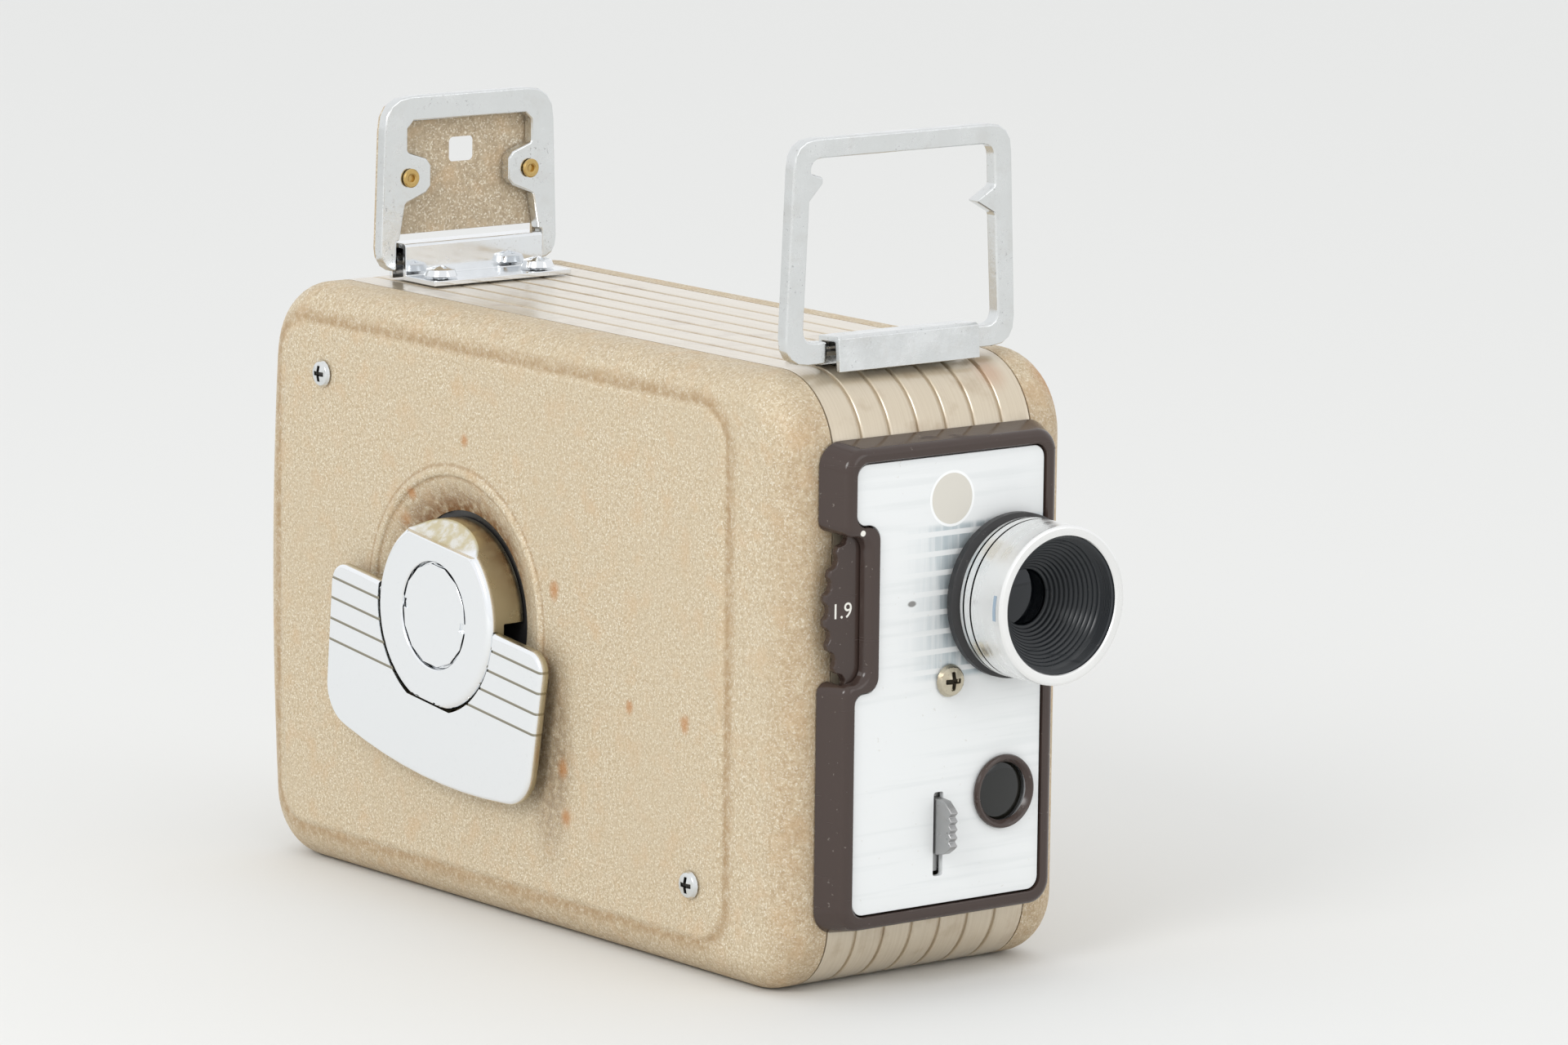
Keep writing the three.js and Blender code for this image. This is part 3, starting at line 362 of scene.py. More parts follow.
print("rust spots:", len(RUST_SPOTS))


# %% Wrinkle enamel
def enamel_finish(name, light, mid, dark):
    """The clean enamel: a crinkle of two sizes, its tint with painted shade in the hollows and a
    painted highlight on the crests, and the height of its bumps.
    """
    material, tree, shader = new_finish(name, mid[:3], 0.62, 0.15)
    crinkle = grain(tree, 0.62, detail=3, roughness=0.6)
    crests = grain(tree, 0.34, detail=2)
    height = sums(tree, "ADD", crinkle, sums(tree, "MULTIPLY", crests, 0.7))
    # Painted shade and highlight: the tint follows the crinkle's height, darker in the hollows and near
    # white on the crests.
    tint = mixed(tree, remap(tree, crinkle, 0.28, 0.72), dark, light)
    tint = mixed(tree, remap(tree, crests, 0.52, 0.7, 0, 0.75), tint, rgba(244, 238, 222))
    blush = remap(tree, grain(tree, 5, 3), 0.48, 0.75, 0, 0.45)
    tint = mixed(tree, blush, tint, rgba(206, 176, 138))
    cloud = grain(tree, 26, detail=3)
    tint = mixed(tree, remap(tree, cloud, 0.4, 0.72, 0, 0.3), tint, mid)
    return material, tree, shader, height, tint


def dirt_and_painted_shade(tree, tint, share, colour):
    """Lays a brown tint broken up by the crinkle's own grain: dirt, darker bands, and the paddle's
    painted shadow.
    """
    broken = sums(tree, "MULTIPLY", share, remap(tree, grain(tree, 1.4, 3), 0.3, 0.62, 0.35, 1))
    return mixed(tree, broken, tint, colour)


# %% Dirty the enamel and paint the paddle's shadow on it
def shell_finish(name):
    """The enamel with dirt round the key, darker bands round the panel and along the front edge, the
    paddle's painted shadow, dirt along the top and the foot, and rust spots.
    """
    material, tree, shader, height, tint = enamel_finish(
        name, rgba(214, 199, 171), rgba(202, 186, 158), rgba(184, 164, 133)
    )
    step = outside_of(tree, (PANEL_REAR + PANEL_FRONT) / 2, (PANEL_TOP + PANEL_LOW) / 2,
                      (PANEL_REAR - PANEL_FRONT) / 2, (PANEL_TOP - PANEL_LOW) / 2, PANEL_CORNER)
    # A darker brown band just outside the raised panel's edge.
    seam = sums(tree, "MULTIPLY", remap(tree, step, -0.7, 0.5), remap(tree, step, 0.6, 3.4, 1, 0))
    tint = dirt_and_painted_shade(tree, tint, sums(tree, "MULTIPLY", seam, 0.62), rgba(158, 124, 80))
    ring = away_from(tree, (COVER_X, KEY_Y, KEY_Z), (0.2, 1, 1))
    key_side = remap(tree, along(tree, "x"), -12, -8, 1, 0)
    upper = sums(tree, "MULTIPLY", remap(tree, along(tree, "z"), 50, 68), key_side)
    inside = remap(tree, ring, 17, 25, 1, 0)
    tint = dirt_and_painted_shade(tree, tint, sums(tree, "MULTIPLY", inside, upper), rgba(126, 84, 40))
    for edge_radius in RECESS_EDGES:
        off_edge = sums(tree, "ABSOLUTE", sums(tree, "ADD", ring, -edge_radius))
        beside = remap(tree, off_edge, 0.1, 0.5, 0.45, 0)
        tint = dirt_and_painted_shade(tree, tint, sums(tree, "MULTIPLY", beside, key_side), rgba(150, 112, 66))
    # Painted shadow of the paddle on the enamel to its right, laid on with some dirt as a grainy brown
    # band.
    shade = remap(tree, away_from(tree, (COVER_X, -14.5, 32), (0.3, 1.5, 0.5)), 4, 12, 0.5, 0)
    tint = dirt_and_painted_shade(tree, tint, sums(tree, "MULTIPLY", shade, key_side), rgba(112, 80, 44))
    # Darker towards the front edge, in a grainy brown band.
    front = remap(tree, sums(tree, "ADD", along(tree, "y"), -FRONT), 0.5, 8, 0.34, 0)
    tint = dirt_and_painted_shade(tree, tint, front, rgba(150, 112, 66))
    top = remap(tree, along(tree, "z"), 100, HEIGHT, 0, 0.16)
    tint = dirt_and_painted_shade(tree, tint, top, rgba(138, 112, 80))
    foot = remap(tree, along(tree, "z"), 0.5, 7, 0.4, 0)
    tint = dirt_and_painted_shade(tree, tint, foot, rgba(140, 112, 76))
    for x, y, z, size in RUST_SPOTS:
        blot = sums(tree, "ADD", away_from(tree, (x, y, z), (1, 1, 0.8)), grain(tree, 1.6, 3))
        spot = remap(tree, blot, size * 0.35 + 0.3, size + 0.8, 0.62, 0)
        tint = mixed(tree, spot, tint, rgba(182, 116, 44))
    tree.links.new(tint, shader.inputs["Base Color"])
    wear = remap(tree, grain(tree, 3.5, 3), 0.4, 0.65, 0.5, 0.72)
    tree.links.new(wear, shader.inputs["Roughness"])
    tree.links.new(relief(tree, height, 0.16, 0.75), shader.inputs["Normal"])
    return material


enamel = shell_finish("wrinkle_enamel")
print("enamel nodes:", len(enamel.node_tree.nodes))

# %% [markdown]
# ## Metals and plastics
# Plated parts are pure metal to the shader; what tells chrome from nickel is the colour, and what
# makes them believable is uneven polish: fine pits, brown stains at the edges of old plate and
# faint brushing. One function with a few numbers makes them all. The moulded plastics get dust
# and hairline scratches in the roughness, which show only where light glances off.

# %% Metal finishes
def metal_finish(name, colour, polish, pits=0.25, stain=0.0, brush=(1, 1, 1), lumps=0.0):
    """Polish is the mean roughness, pits and stain are shares, and lumps is a casting's relief."""
    material, tree, shader = new_finish(name, colour, polish, 1.0)
    cloud = grain(tree, 5.5, detail=4, stretch=brush)
    rough = remap(tree, cloud, 0.34, 0.68, polish * 0.72, polish * 1.5)
    speck = remap(tree, grain(tree, 0.55, detail=2), 0.62, 0.74)
    spots = sums(tree, "MULTIPLY", speck, remap(tree, grain(tree, 7, 3), 0.42, 0.62, 0.1, 1))
    rough = sums(tree, "ADD", rough, sums(tree, "MULTIPLY", spots, pits))
    tree.links.new(rough, shader.inputs["Roughness"])
    dull = tuple(c * 0.62 for c in colour) + (1,)
    tint = mixed(tree, sums(tree, "MULTIPLY", spots, pits * 1.6), (*colour, 1), dull)
    if stain:
        patch = remap(tree, grain(tree, 3.2, 4), 0.5, 0.7, 0, stain)
        tint = mixed(tree, patch, tint, rgba(150, 122, 84))
    tree.links.new(tint, shader.inputs["Base Color"])
    height = sums(tree, "MULTIPLY", cloud, 0.3)
    if lumps:
        height = sums(tree, "ADD", height, sums(tree, "MULTIPLY", grain(tree, 1.3, 3), lumps))
    tree.links.new(relief(tree, height, 0.05, 0.6), shader.inputs["Normal"])
    return material


chrome = metal_finish("bright_chrome", rgb(232, 234, 236), 0.1, 0.18)
key_chrome = metal_finish("key_chrome", rgb(244, 246, 248), 0.12, 0.08, brush=(1, 0.15, 1))
frame_chrome = metal_finish("finder_chrome", rgb(222, 224, 224), 0.2, 0.5, 0.06, lumps=1.4)
aluminium = metal_finish("turned_aluminium", rgb(243, 243, 242), 0.3, 0.06, brush=(0.2, 4, 0.2))
steel = metal_finish("plain_steel", rgb(176, 176, 176), 0.32, 0.4, 0.05)
nickel = metal_finish("tarnished_nickel", rgb(198, 190, 170), 0.27, 0.4, 0.3)
brass = metal_finish("turned_brass", rgb(198, 168, 108), 0.3, 0.3, 0.1)
print("metals ready")

# %% [markdown]
# The key's chrome gathers dirt where fingers don't wipe it: in the thumb rest and along the
# engraved lines. The hub's side gets a painted reflection of the tan enamel. The lines are found
# by their height in the key's own level direction, so the dirt lies exactly in the slots that are
# cut later. Screw slots and the barrel's grooves get painted shade, darkened by where they are.

# %% Dirty the key's hollows and paint a reflection on the hub's side
PADDLE_LINES, LINE_HALF = (-1.6, -5.3, -9.1, -12.9), 0.22


def tint_metal(material, share, colour, rougher=0.0):
    """Lays a colour over a finished material, and roughens it by as much as is asked."""
    tree = material.node_tree
    shader = tree.nodes["Principled BSDF"]
    under = shader.inputs["Base Color"].links[0].from_socket
    tree.links.new(mixed(tree, share, under, colour), shader.inputs["Base Color"])
    if rougher:
        polish = shader.inputs["Roughness"].links[0].from_socket
        added = sums(tree, "MULTIPLY", share, rougher)
        tree.links.new(sums(tree, "ADD", polish, added), shader.inputs["Roughness"])


def key_dirt_and_reflection(material):
    tree = material.node_tree
    reach = away_from(tree, (COVER_X, KEY_Y, KEY_Z), (0, 1, 1))
    behind_face = remap(tree, along(tree, "x"), -35.2, -34.2)
    side = sums(tree, "MULTIPLY", remap(tree, reach, 16.3, 16.7), behind_face)
    # Painted reflection of the tan enamel on the hub's side, which is also made a little rougher.
    tint_metal(material, sums(tree, "MULTIPLY", side, 0.9), rgba(182, 174, 146), 0.18)
    rest = remap(tree, away_from(tree, (-33.6, 12.2, 67.6), (1, 0.36, 1)), 2.6, 4.2, 0.85, 0)
    inside_rest = sums(tree, "MULTIPLY", rest, remap(tree, along(tree, "x"), -35.85, -35.6))
    patches = remap(tree, grain(tree, 2.2, 3), 0.35, 0.6, 0.4, 1)
    tint_metal(material, sums(tree, "MULTIPLY", inside_rest, patches), rgba(206, 192, 150), 0.25)
    up = sums(tree, "ADD", along(tree, "z"), -KEY_Z)
    back = sums(tree, "ADD", along(tree, "y"), -KEY_Y)
    level = sums(tree, "ADD", sums(tree, "MULTIPLY", up, math.cos(KEY_TILT)),
                 sums(tree, "MULTIPLY", back, -math.sin(KEY_TILT)))
    outside_hub = remap(tree, reach, 16.8, 17.0)
    for line in PADDLE_LINES:
        off = sums(tree, "ABSOLUTE", sums(tree, "ADD", level, -line))
        close = remap(tree, off, LINE_HALF * 0.8, LINE_HALF * 1.3, 0.85, 0)
        tint_metal(material, sums(tree, "MULTIPLY", close, outside_hub), rgba(150, 142, 118))


key_dirt_and_reflection(key_chrome)
print("key chrome nodes:", len(key_chrome.node_tree.nodes))

# %% Darken the screws' crosses
COVER_SCREWS, PLATE_SCREW = [(-32, 54.5, 90.0), (-32, -54.6, 16.1)], (0, -86, 52.9)
CROSS_REACH, CROSS_HALF = 1.35, 0.34


def dark_cross(material, middle, across):
    """Darkens a cross about a screw's middle, as painted shade in its recess, lying in the two
    directions named by `across`.
    """
    tree = material.node_tree
    offs = [
        sums(tree, "ABSOLUTE", sums(tree, "ADD", along(tree, axis), -middle["xyz".index(axis)]))
        for axis in across
    ]
    near, far = sums(tree, "MINIMUM", *offs), sums(tree, "MAXIMUM", *offs)
    arm = sums(tree, "MULTIPLY", remap(tree, near, CROSS_HALF, CROSS_HALF + 0.12, 1, 0),
               remap(tree, far, CROSS_REACH, CROSS_REACH + 0.15, 1, 0))
    # Painted shade in the screw's cross recess.
    tint_metal(material, sums(tree, "MULTIPLY", arm, 0.92), rgba(46, 40, 32), 0.3)


screw_chrome = metal_finish("screw_chrome", rgb(224, 226, 226), 0.16, 0.3)
for screw in COVER_SCREWS:
    dark_cross(screw_chrome, screw, "yz")
dark_cross(nickel, PLATE_SCREW, "xz")
print("screws darkened:", len(COVER_SCREWS) + 1)

# %% Blacken the barrel's grooves
LENS_X, LENS_Z = 12.7, 66.5
GROOVES_Y, BARREL_RADIUS = (-89.8, -91.6), 13.7


def blacken_grooves(material):
    """Painted shade: black inside the barrel's radius, near either groove, and nowhere in front of
    them.
    """
    tree = material.node_tree
    half_apart = (GROOVES_Y[0] - GROOVES_Y[1]) / 2
    off_groove = sums(tree, "PINGPONG", sums(tree, "ADD", along(tree, "y"), -GROOVES_Y[0]), half_apart)
    near = remap(tree, off_groove, 0.2, 0.26, 0.96, 0)
    behind = remap(tree, along(tree, "y"), -92.0, -91.95)
    from_axis = away_from(tree, (LENS_X, 0, LENS_Z), (1, 0, 1))
    inside = remap(tree, from_axis, BARREL_RADIUS - 0.15, BARREL_RADIUS - 0.05, 1, 0)
    share = sums(tree, "MULTIPLY", sums(tree, "MULTIPLY", near, behind), inside)
    # Painted shade in the barrel's two grooves.
    tint_metal(material, share, rgba(24, 24, 26))


blacken_grooves(aluminium)
print("aluminium nodes:", len(aluminium.node_tree.nodes))


# %% Plastic finishes
def plastic_finish(name, colour, polish, dust):
    material, tree, shader = new_finish(name, colour, polish, 0.0, Specular_IOR_Level=0.5)
    film = remap(tree, grain(tree, 9, 4), 0.4, 0.75, polish * 0.8, polish * 1.5)
    scratch = remap(tree, grain(tree, 1.5, 2, (0.12, 0.12, 1.6)), 0.66, 0.72, 0, 0.3)
    tree.links.new(sums(tree, "ADD", film, scratch), shader.inputs["Roughness"])
    speck = remap(tree, grain(tree, 0.8, 2), 0.7, 0.76, 0, dust)
    tint = mixed(tree, speck, (*colour, 1), rgba(190, 182, 172))
    tree.links.new(tint, shader.inputs["Base Color"])
    tree.links.new(relief(tree, grain(tree, 4, 2), 0.03, 0.5), shader.inputs["Normal"])
    return material


dark_plastic = plastic_finish("brown_plastic", rgb(64, 51, 46), 0.15, 0.2)
black_paint = plastic_finish("black_satin", rgb(38, 37, 38), 0.36, 0.12)
lens_black = plastic_finish("lens_black", rgb(34, 38, 42), 0.34, 0.08)
white_paint = plastic_finish("numeral_white", rgb(236, 234, 226), 0.5, 0.05)
dial_white = plastic_finish("dial_white", rgb(226, 224, 214), 0.5, 0.1)


# %% [markdown]
# ## Ribbed band
# The band between the shells is a smooth metallic paint, not the wrinkle. The top catches the
# light like brushed metal, while the ends look tan. So it is painted as a half-metal under a
# clear lacquer, with faint lines drawn along the ribs, a few smudges and one stain of rust.

# %% Band paint
def band_finish():
    material, tree, shader = new_finish(
        "band_paint", rgb(190, 172, 146), 0.4, 0.4,
        Coat_Weight=1.0, Coat_Roughness=0.2, Coat_IOR=1.8,
    )
    drawn = grain(tree, 1.0, 3, (2.5, 0.05, 0.05))
    lines = remap(tree, drawn, 0.35, 0.7, 0, 0.2)
    tint = mixed(tree, lines, rgba(206, 192, 168), rgba(178, 158, 130))
    smudge = remap(tree, grain(tree, 6, 4), 0.52, 0.72, 0, 0.4)
    tint = mixed(tree, smudge, tint, rgba(158, 132, 98))
    rust = remap(tree, away_from(tree, (16.5, -76.5, 104.5), (1, 0.6, 0.8)), 1, 4.5, 0.5, 0)
    tint = mixed(tree, rust, tint, rgba(176, 108, 54))
    tree.links.new(tint, shader.inputs["Base Color"])
    tree.links.new(remap(tree, drawn, 0.3, 0.7, 0.38, 0.46), shader.inputs["Roughness"])
    tree.links.new(relief(tree, grain(tree, 0.9, 3), 0.03, 0.5), shader.inputs["Normal"])
    return material


band_paint = band_finish()
print("band paint nodes:", len(band_paint.node_tree.nodes))


# %% Paint for the rear finder's sheet
def sheet_finish():
    """The enamel's crinkle with its painted highlight and shade but without its dirt, flatter and
    duller.
    """
    material, tree, shader, height, tint = enamel_finish(
        "tan_paint", rgba(200, 184, 158), rgba(190, 174, 148), rgba(172, 154, 128)
    )
    tree.links.new(tint, shader.inputs["Base Color"])
    tree.links.new(relief(tree, height, 0.06, 0.6), shader.inputs["Normal"])
    shader.inputs["Roughness"].default_value = 0.7
    return material


tan_paint = sheet_finish()
print("sheet paint nodes:", len(tan_paint.node_tree.nodes))

# %% [markdown]
# ## White front plate
# The plate is silvered metal with white paint printed over it. The bare metal shows beside the
# lens as bars between white lines, and fades out to the left. The bars are a repeating ramp of
# the height, masked above and below the lens and by a fade across; a second ramp draws them
# stronger nearer the lens, partly as a painted reflection of the dark lens. A plain pale disc marks
# the top, ringed in white, with nothing written on it.

# %% Plate finish
BAR_PITCH = 3.35
DISC_X, DISC_Z, DISC_RADIUS = 0.2, 84.0, 4.4


def plate_finish():
    white = rgba(234, 236, 236)
    material, tree, shader = new_finish("printed_plate", white[:3], 0.3, 0.0)
    height = sums(tree, "ADD", along(tree, "z"), -LENS_Z)
    bar = sums(tree, "PINGPONG", sums(tree, "ADD", height, BAR_PITCH / 2), BAR_PITCH / 2)
    gap = remap(tree, bar, 0.4, 0.52)
    fade = remap(tree, along(tree, "x"), -12.5, -1.5)
    rows = remap(tree, sums(tree, "ABSOLUTE", height), 12.6, 13.6, 1, 0)
    print_grain = remap(tree, grain(tree, 2.6, 3, (2.5, 1, 0.12)), 0.3, 0.62, 0.3, 1)
    # Bars drawn stronger nearer the lens: partly the print thinning to the left, partly a painted
    # reflection of the dark lens.
    depth = remap(tree, along(tree, "x"), -7, -1, 0.3, 0.8)
    bare = gap
    for share in (rows, fade, print_grain, depth):
        bare = sums(tree, "MULTIPLY", bare, share)
    tint = mixed(tree, bare, white, rgba(176, 190, 196))
    streak = remap(tree, grain(tree, 1.6, 3, (0.04, 1, 1)), 0.5, 0.7, 0, 0.3)
    tint = mixed(tree, streak, tint, rgba(214, 218, 218))
    disc = away_from(tree, (DISC_X, -85, DISC_Z), (1, 0.05, 1))
    ring = remap(tree, disc, DISC_RADIUS + 0.35, DISC_RADIUS + 0.45, 1, 0)
    tint = mixed(tree, ring, tint, rgba(248, 249, 249))
    centre = remap(tree, disc, DISC_RADIUS - 0.1, DISC_RADIUS, 1, 0)
    tint = mixed(tree, centre, tint, rgba(216, 212, 202))
    chip = remap(tree, away_from(tree, (-8.2, -85, 66.8), (0.8, 0.1, 1.4)), 0.5, 0.9, 0.8, 0)
    tint = mixed(tree, chip, tint, rgba(96, 92, 88))
    dirt = remap(tree, grain(tree, 0.9, 2), 0.72, 0.78, 0, 0.35)
    tint = mixed(tree, dirt, tint, rgba(200, 196, 186))
    tree.links.new(tint, shader.inputs["Base Color"])
    tree.links.new(sums(tree, "MULTIPLY", bare, 0.4), shader.inputs["Metallic"])
    tree.links.new(relief(tree, grain(tree, 1.2, 2), 0.01, 0.4), shader.inputs["Normal"])
    return material


printed_plate = plate_finish()
print("plate nodes:", len(printed_plate.node_tree.nodes))

# %% [markdown]
# ## Glass
# Coated glass in front of a black inside reads as a dark pool with a bluish sheen. Real
# transmission would show the same black for much more work, so the glass is a very dark, very
# smooth surface under a tinted clear coat.

# %% Glass finish
def glass_finish(name, colour, coat):
    material, tree, shader = new_finish(
        name, colour, 0.06, 0.0, Coat_Weight=0.4, Coat_Roughness=0.03, Coat_Tint=coat,
        Specular_IOR_Level=0.45,
    )
    haze = remap(tree, grain(tree, 2.5, 3), 0.4, 0.75, 0.04, 0.14)
    tree.links.new(haze, shader.inputs["Roughness"])
    return material


lens_glass = glass_finish("lens_glass", rgb(9, 11, 13), rgba(200, 214, 236))
window_glass = glass_finish("window_glass", rgb(26, 25, 20), rgba(214, 222, 232))
print("finishes:", len(bpy.data.materials))

# %% [markdown]
# ## Side shells
# Each shell is pressed from sheet, so it has one even thickness, a generous roll round its edge
# and a raised panel on its flat. Modelling follows the press: draw the outline, pull it out,
# roll the edge with a bevel, inset the flat for the panel, and give the skin its thickness last.
# A subdivision surface would also roll the edge, but its radius would be harder to measure.

# %% Shape of the body's side
REAR, BOW_REACH, REAR_BOW = 75.2, 15, 1.6
SIDE_CORNERS = [(FRONT, 0), (REAR, 0), (REAR, HEIGHT), (FRONT, HEIGHT)]
SIDE_RADII = [12, 12, 14, 14]


def side_face(reach):
    """The body's side outline, its rear edge bowed very slightly outwards."""
    bm = flat_outline(SIDE_CORNERS, SIDE_RADII, reach, steps=12)
    rear_edge = [
        edge for edge in bm.edges
        if all(abs(v.co.x - REAR * MM) < 1e-6 for v in edge.verts)
    ]
    bmesh.ops.subdivide_edges(bm, edges=rear_edge, cuts=12)
    middle, half = HEIGHT / 2, HEIGHT / 2 - SIDE_RADII[0]
    for vert in bm.verts:
        if vert.co.x > (REAR - BOW_REACH) * MM:
            share = min(1.0, abs(vert.co.y / MM - middle) / half)
            vert.co.x -= REAR_BOW * share**2 * MM
    return bm


# %% Press a shell
SHELL_OPEN, SHELL_FACE, PANEL_LIFT, EDGE_ROLL, WALL = 21.6, 30.5, 0.5, 6.0, 1.2
PANEL_FRONT_SHIFT = 10.8


def pressed_shell(side):
    bm = side_face(SHELL_OPEN)
    pull_out(bm, SHELL_FACE - SHELL_OPEN)
    flat_faces = [f for f in bm.faces if abs(f.normal.z) > 0.9]
    lid = max(flat_faces, key=lambda f: f.calc_center_median().z)
    bmesh.ops.delete(bm, geom=[f for f in flat_faces if f is not lid], context="FACES_ONLY")
    bmesh.ops.bevel(
        bm, geom=list(lid.edges), offset=EDGE_ROLL * MM, offset_type="OFFSET", segments=10,
        profile=0.5, affect="EDGES", material=-1, clamp_overlap=False,
    )
    lid = max(bm.faces, key=lambda f: f.calc_area())
    bmesh.ops.inset_region(bm, faces=[lid], thickness=0.5 * MM, use_even_offset=True)
    for vert in lid.verts:
        if vert.co.x < FRONT * MM / 2:
            vert.co.x += PANEL_FRONT_SHIFT * MM
    for width, rise in [(0.45, 0.1), (0.5, 0.3), (0.45, 0.1)]:
        bmesh.ops.inset_region(
            bm, faces=[lid], thickness=width * MM, depth=rise * MM, use_even_offset=True
        )
    bm.transform(ON_SIDE)
    bm.normal_update()
    bmesh.ops.recalc_face_normals(bm, faces=bm.faces)
    outward = max(bm.faces, key=lambda f: f.calc_area()).normal.x > 0
    if not outward:
        bmesh.ops.reverse_faces(bm, faces=bm.faces)
    bmesh.ops.solidify(bm, geom=bm.faces[:], thickness=WALL * MM)
    return settled(bm, Matrix.Diagonal((side, 1, 1, 1)))


key_axis = moved(0, KEY_Y, KEY_Z) @ ON_SIDE

cover = carved(pressed_shell(-1), rod(24.95, -40, -20, key_axis))
make_piece("cover_shell", cover, "chassis", enamel, ["mechanism_cover"])

# %% [markdown]
# The key sits in a dished recess whose rim is a faint bead in the sheet. Spinning the recess as
# its own ring keeps its curve perfectly round, and the bead hides where it meets the shell.

# %% Spin the key's recess
bead = [
    (26.0, -30.95), (25.7, -31.25), (25.3, -31.42), (24.8, -31.42), (24.4, -31.2), (24.1, -30.85),
]
dish = [
    (22.5, -30.4), (20.6, -29.6), (19.0, -28.9), (17.9, -28.45), (17.9, -26.6), (26.0, -28.6), bead[0],
]
make_piece("key_recess", spun(bead + dish, key_axis, 128), "chassis", enamel)
# The recess's floor behind the hub is a black ring: painted shadow in the gap round the hub.
shadow_floor = [(3.6, -28.15), (18.7, -28.15), (18.7, -27.95), (3.6, -27.95), (3.6, -28.15)]
make_piece("recess_shadow_floor", spun(shadow_floor, key_axis, 64), "chassis", black_paint)

# %% Press the film door and cut its two holes
counter_hole = rod(5.0, 25, 35, moved(0, -34, 70) @ ON_SIDE, 48)
latch_hole = rod(3.3, 25, 35, moved(0, 6, 52.6) @ ON_SIDE, 48)
door = carved(pressed_shell(1), counter_hole, latch_hole)
make_piece("door_shell", door, "door", enamel, ["film_door"])

# %% [markdown]
# ## The band's ribs
# The band is a hoop with seven flat ribs. Extruding the outline sideways one small step at a
# time, and shrinking it a little for the steps that lie in a groove, draws all the ribs in one
# skin. The last steps run back along the inside, so the skin closes on itself. Cutting grooves
# with booleans would leave dense, uneven corners.

# %% Sweep the ribs
BAND_HALF, RIB_PITCH, RIBS, GROOVE_DEPTH, BAND_WALL = 21.3, 6.08, 7, 0.45, 1.4
rib_profile = [
    (-2.72, GROOVE_DEPTH), (-2.66, 0.16), (-2.5, 0.03), (-2.2, 0.0), (0.0, -0.02),
    (2.2, 0.0), (2.5, 0.03), (2.66, 0.16), (2.72, GROOVE_DEPTH),
]
stations = [
    ((rib - (RIBS - 1) / 2) * RIB_PITCH + across, depth)
    for rib in range(RIBS) for across, depth in rib_profile
]
stations = [(-BAND_HALF, 0.0), *stations[2:-2], (BAND_HALF, 0.0)]
stations += [(BAND_HALF, BAND_WALL), (-BAND_HALF, BAND_WALL), stations[0]]
print("steps of the sweep:", len(stations))


def swept_band():
    """Carries the outline out over the ribs, back along the inside and round to its start."""
    bm = side_face(stations[0][0])
    bmesh.ops.delete(bm, geom=bm.faces[:], context="FACES_ONLY")
    edge_loop = bm.edges[:]
    half_length, half_height = (REAR - FRONT) / 2, HEIGHT / 2
    centre = Vector(((FRONT + REAR) / 2, half_height, 0)) * MM
    here, sunk = stations[0]
    for across, depth in stations[1:]:
        grown = bmesh.ops.extrude_edge_only(bm, edges=edge_loop)["geom"]
        ring = [part for part in grown if isinstance(part, bmesh.types.BMVert)]
        edge_loop = [part for part in grown if isinstance(part, bmesh.types.BMEdge)]
        bmesh.ops.translate(bm, verts=ring, vec=(0, 0, (across - here) * MM))
        shrink = [(half - depth) / (half - sunk) for half in (half_length, half_height)]
        bmesh.ops.scale(bm, vec=(*shrink, 1), space=Matrix.Translation(-centre), verts=ring)
        here, sunk = across, depth
    bmesh.ops.remove_doubles(bm, verts=bm.verts, dist=MERGE)
    return settled(bm, ON_SIDE)


# %% Cut the band's two ports
WINDOW_X, WINDOW_Z = 12, 32.5
ports = [
    rod(radius, -84, -76, moved(x, 0, z) @ ON_FRONT, 48)
    for x, z, radius in [(LENS_X, LENS_Z, 6.0), (WINDOW_X, WINDOW_Z, 5.2)]
]
band = carved(swept_band(), *ports)
make_piece("ribbed_band", band, "chassis", band_paint, ["body_band"])

# %% [markdown]
# ## Front moulding
# The brown moulding frames the plate and steps in at the left to bare the edge of the exposure
# wheel. Its flanks lean outwards, so the outline is pulled back and widened a little as it goes.
# Then its front edge is rounded, the plate's seat and the wheel's room are cut out, and a thin
# flared cutter eases the seat's lip. Bevelling the lip instead would close a face over the seat.

# %% Outlines with a bite for the wheel
BITE_LOW, BITE_TOP = 54.4, 79.2


def bitten_outline(half, low, top, bite, corner, inner):
    """A rounded rectangle with a bite out of its left side, and the radius of each corner.

    `inner` moves the bite's two ends apart, for the outlines that lie further in.
    """
    bite_low, bite_top = BITE_LOW - inner, BITE_TOP + inner
    corners = [
        (-half, low), (half, low), (half, top), (-half, top),
        (-half, bite_top), (bite, bite_top), (bite, bite_low), (-half, bite_low),
    ]
    return corners, [corner] * 4 + [1.9, 2.6, 2.6, 1.9]


def leaning_block(outline, front, back, widen):
    """An outline pulled back from front to back, its far end widened about its middle."""
    corners, radii = outline
    bm = flat_outline(corners, radii, front)
    far_side = pull_out(bm, back - front)
    middle = Vector((0, (corners[0][1] + corners[2][1]) / 2, 0)) * MM
    bmesh.ops.scale(bm, vec=widen, space=Matrix.Translation(-middle), verts=far_side)
    return settled(bm, ON_FRONT)


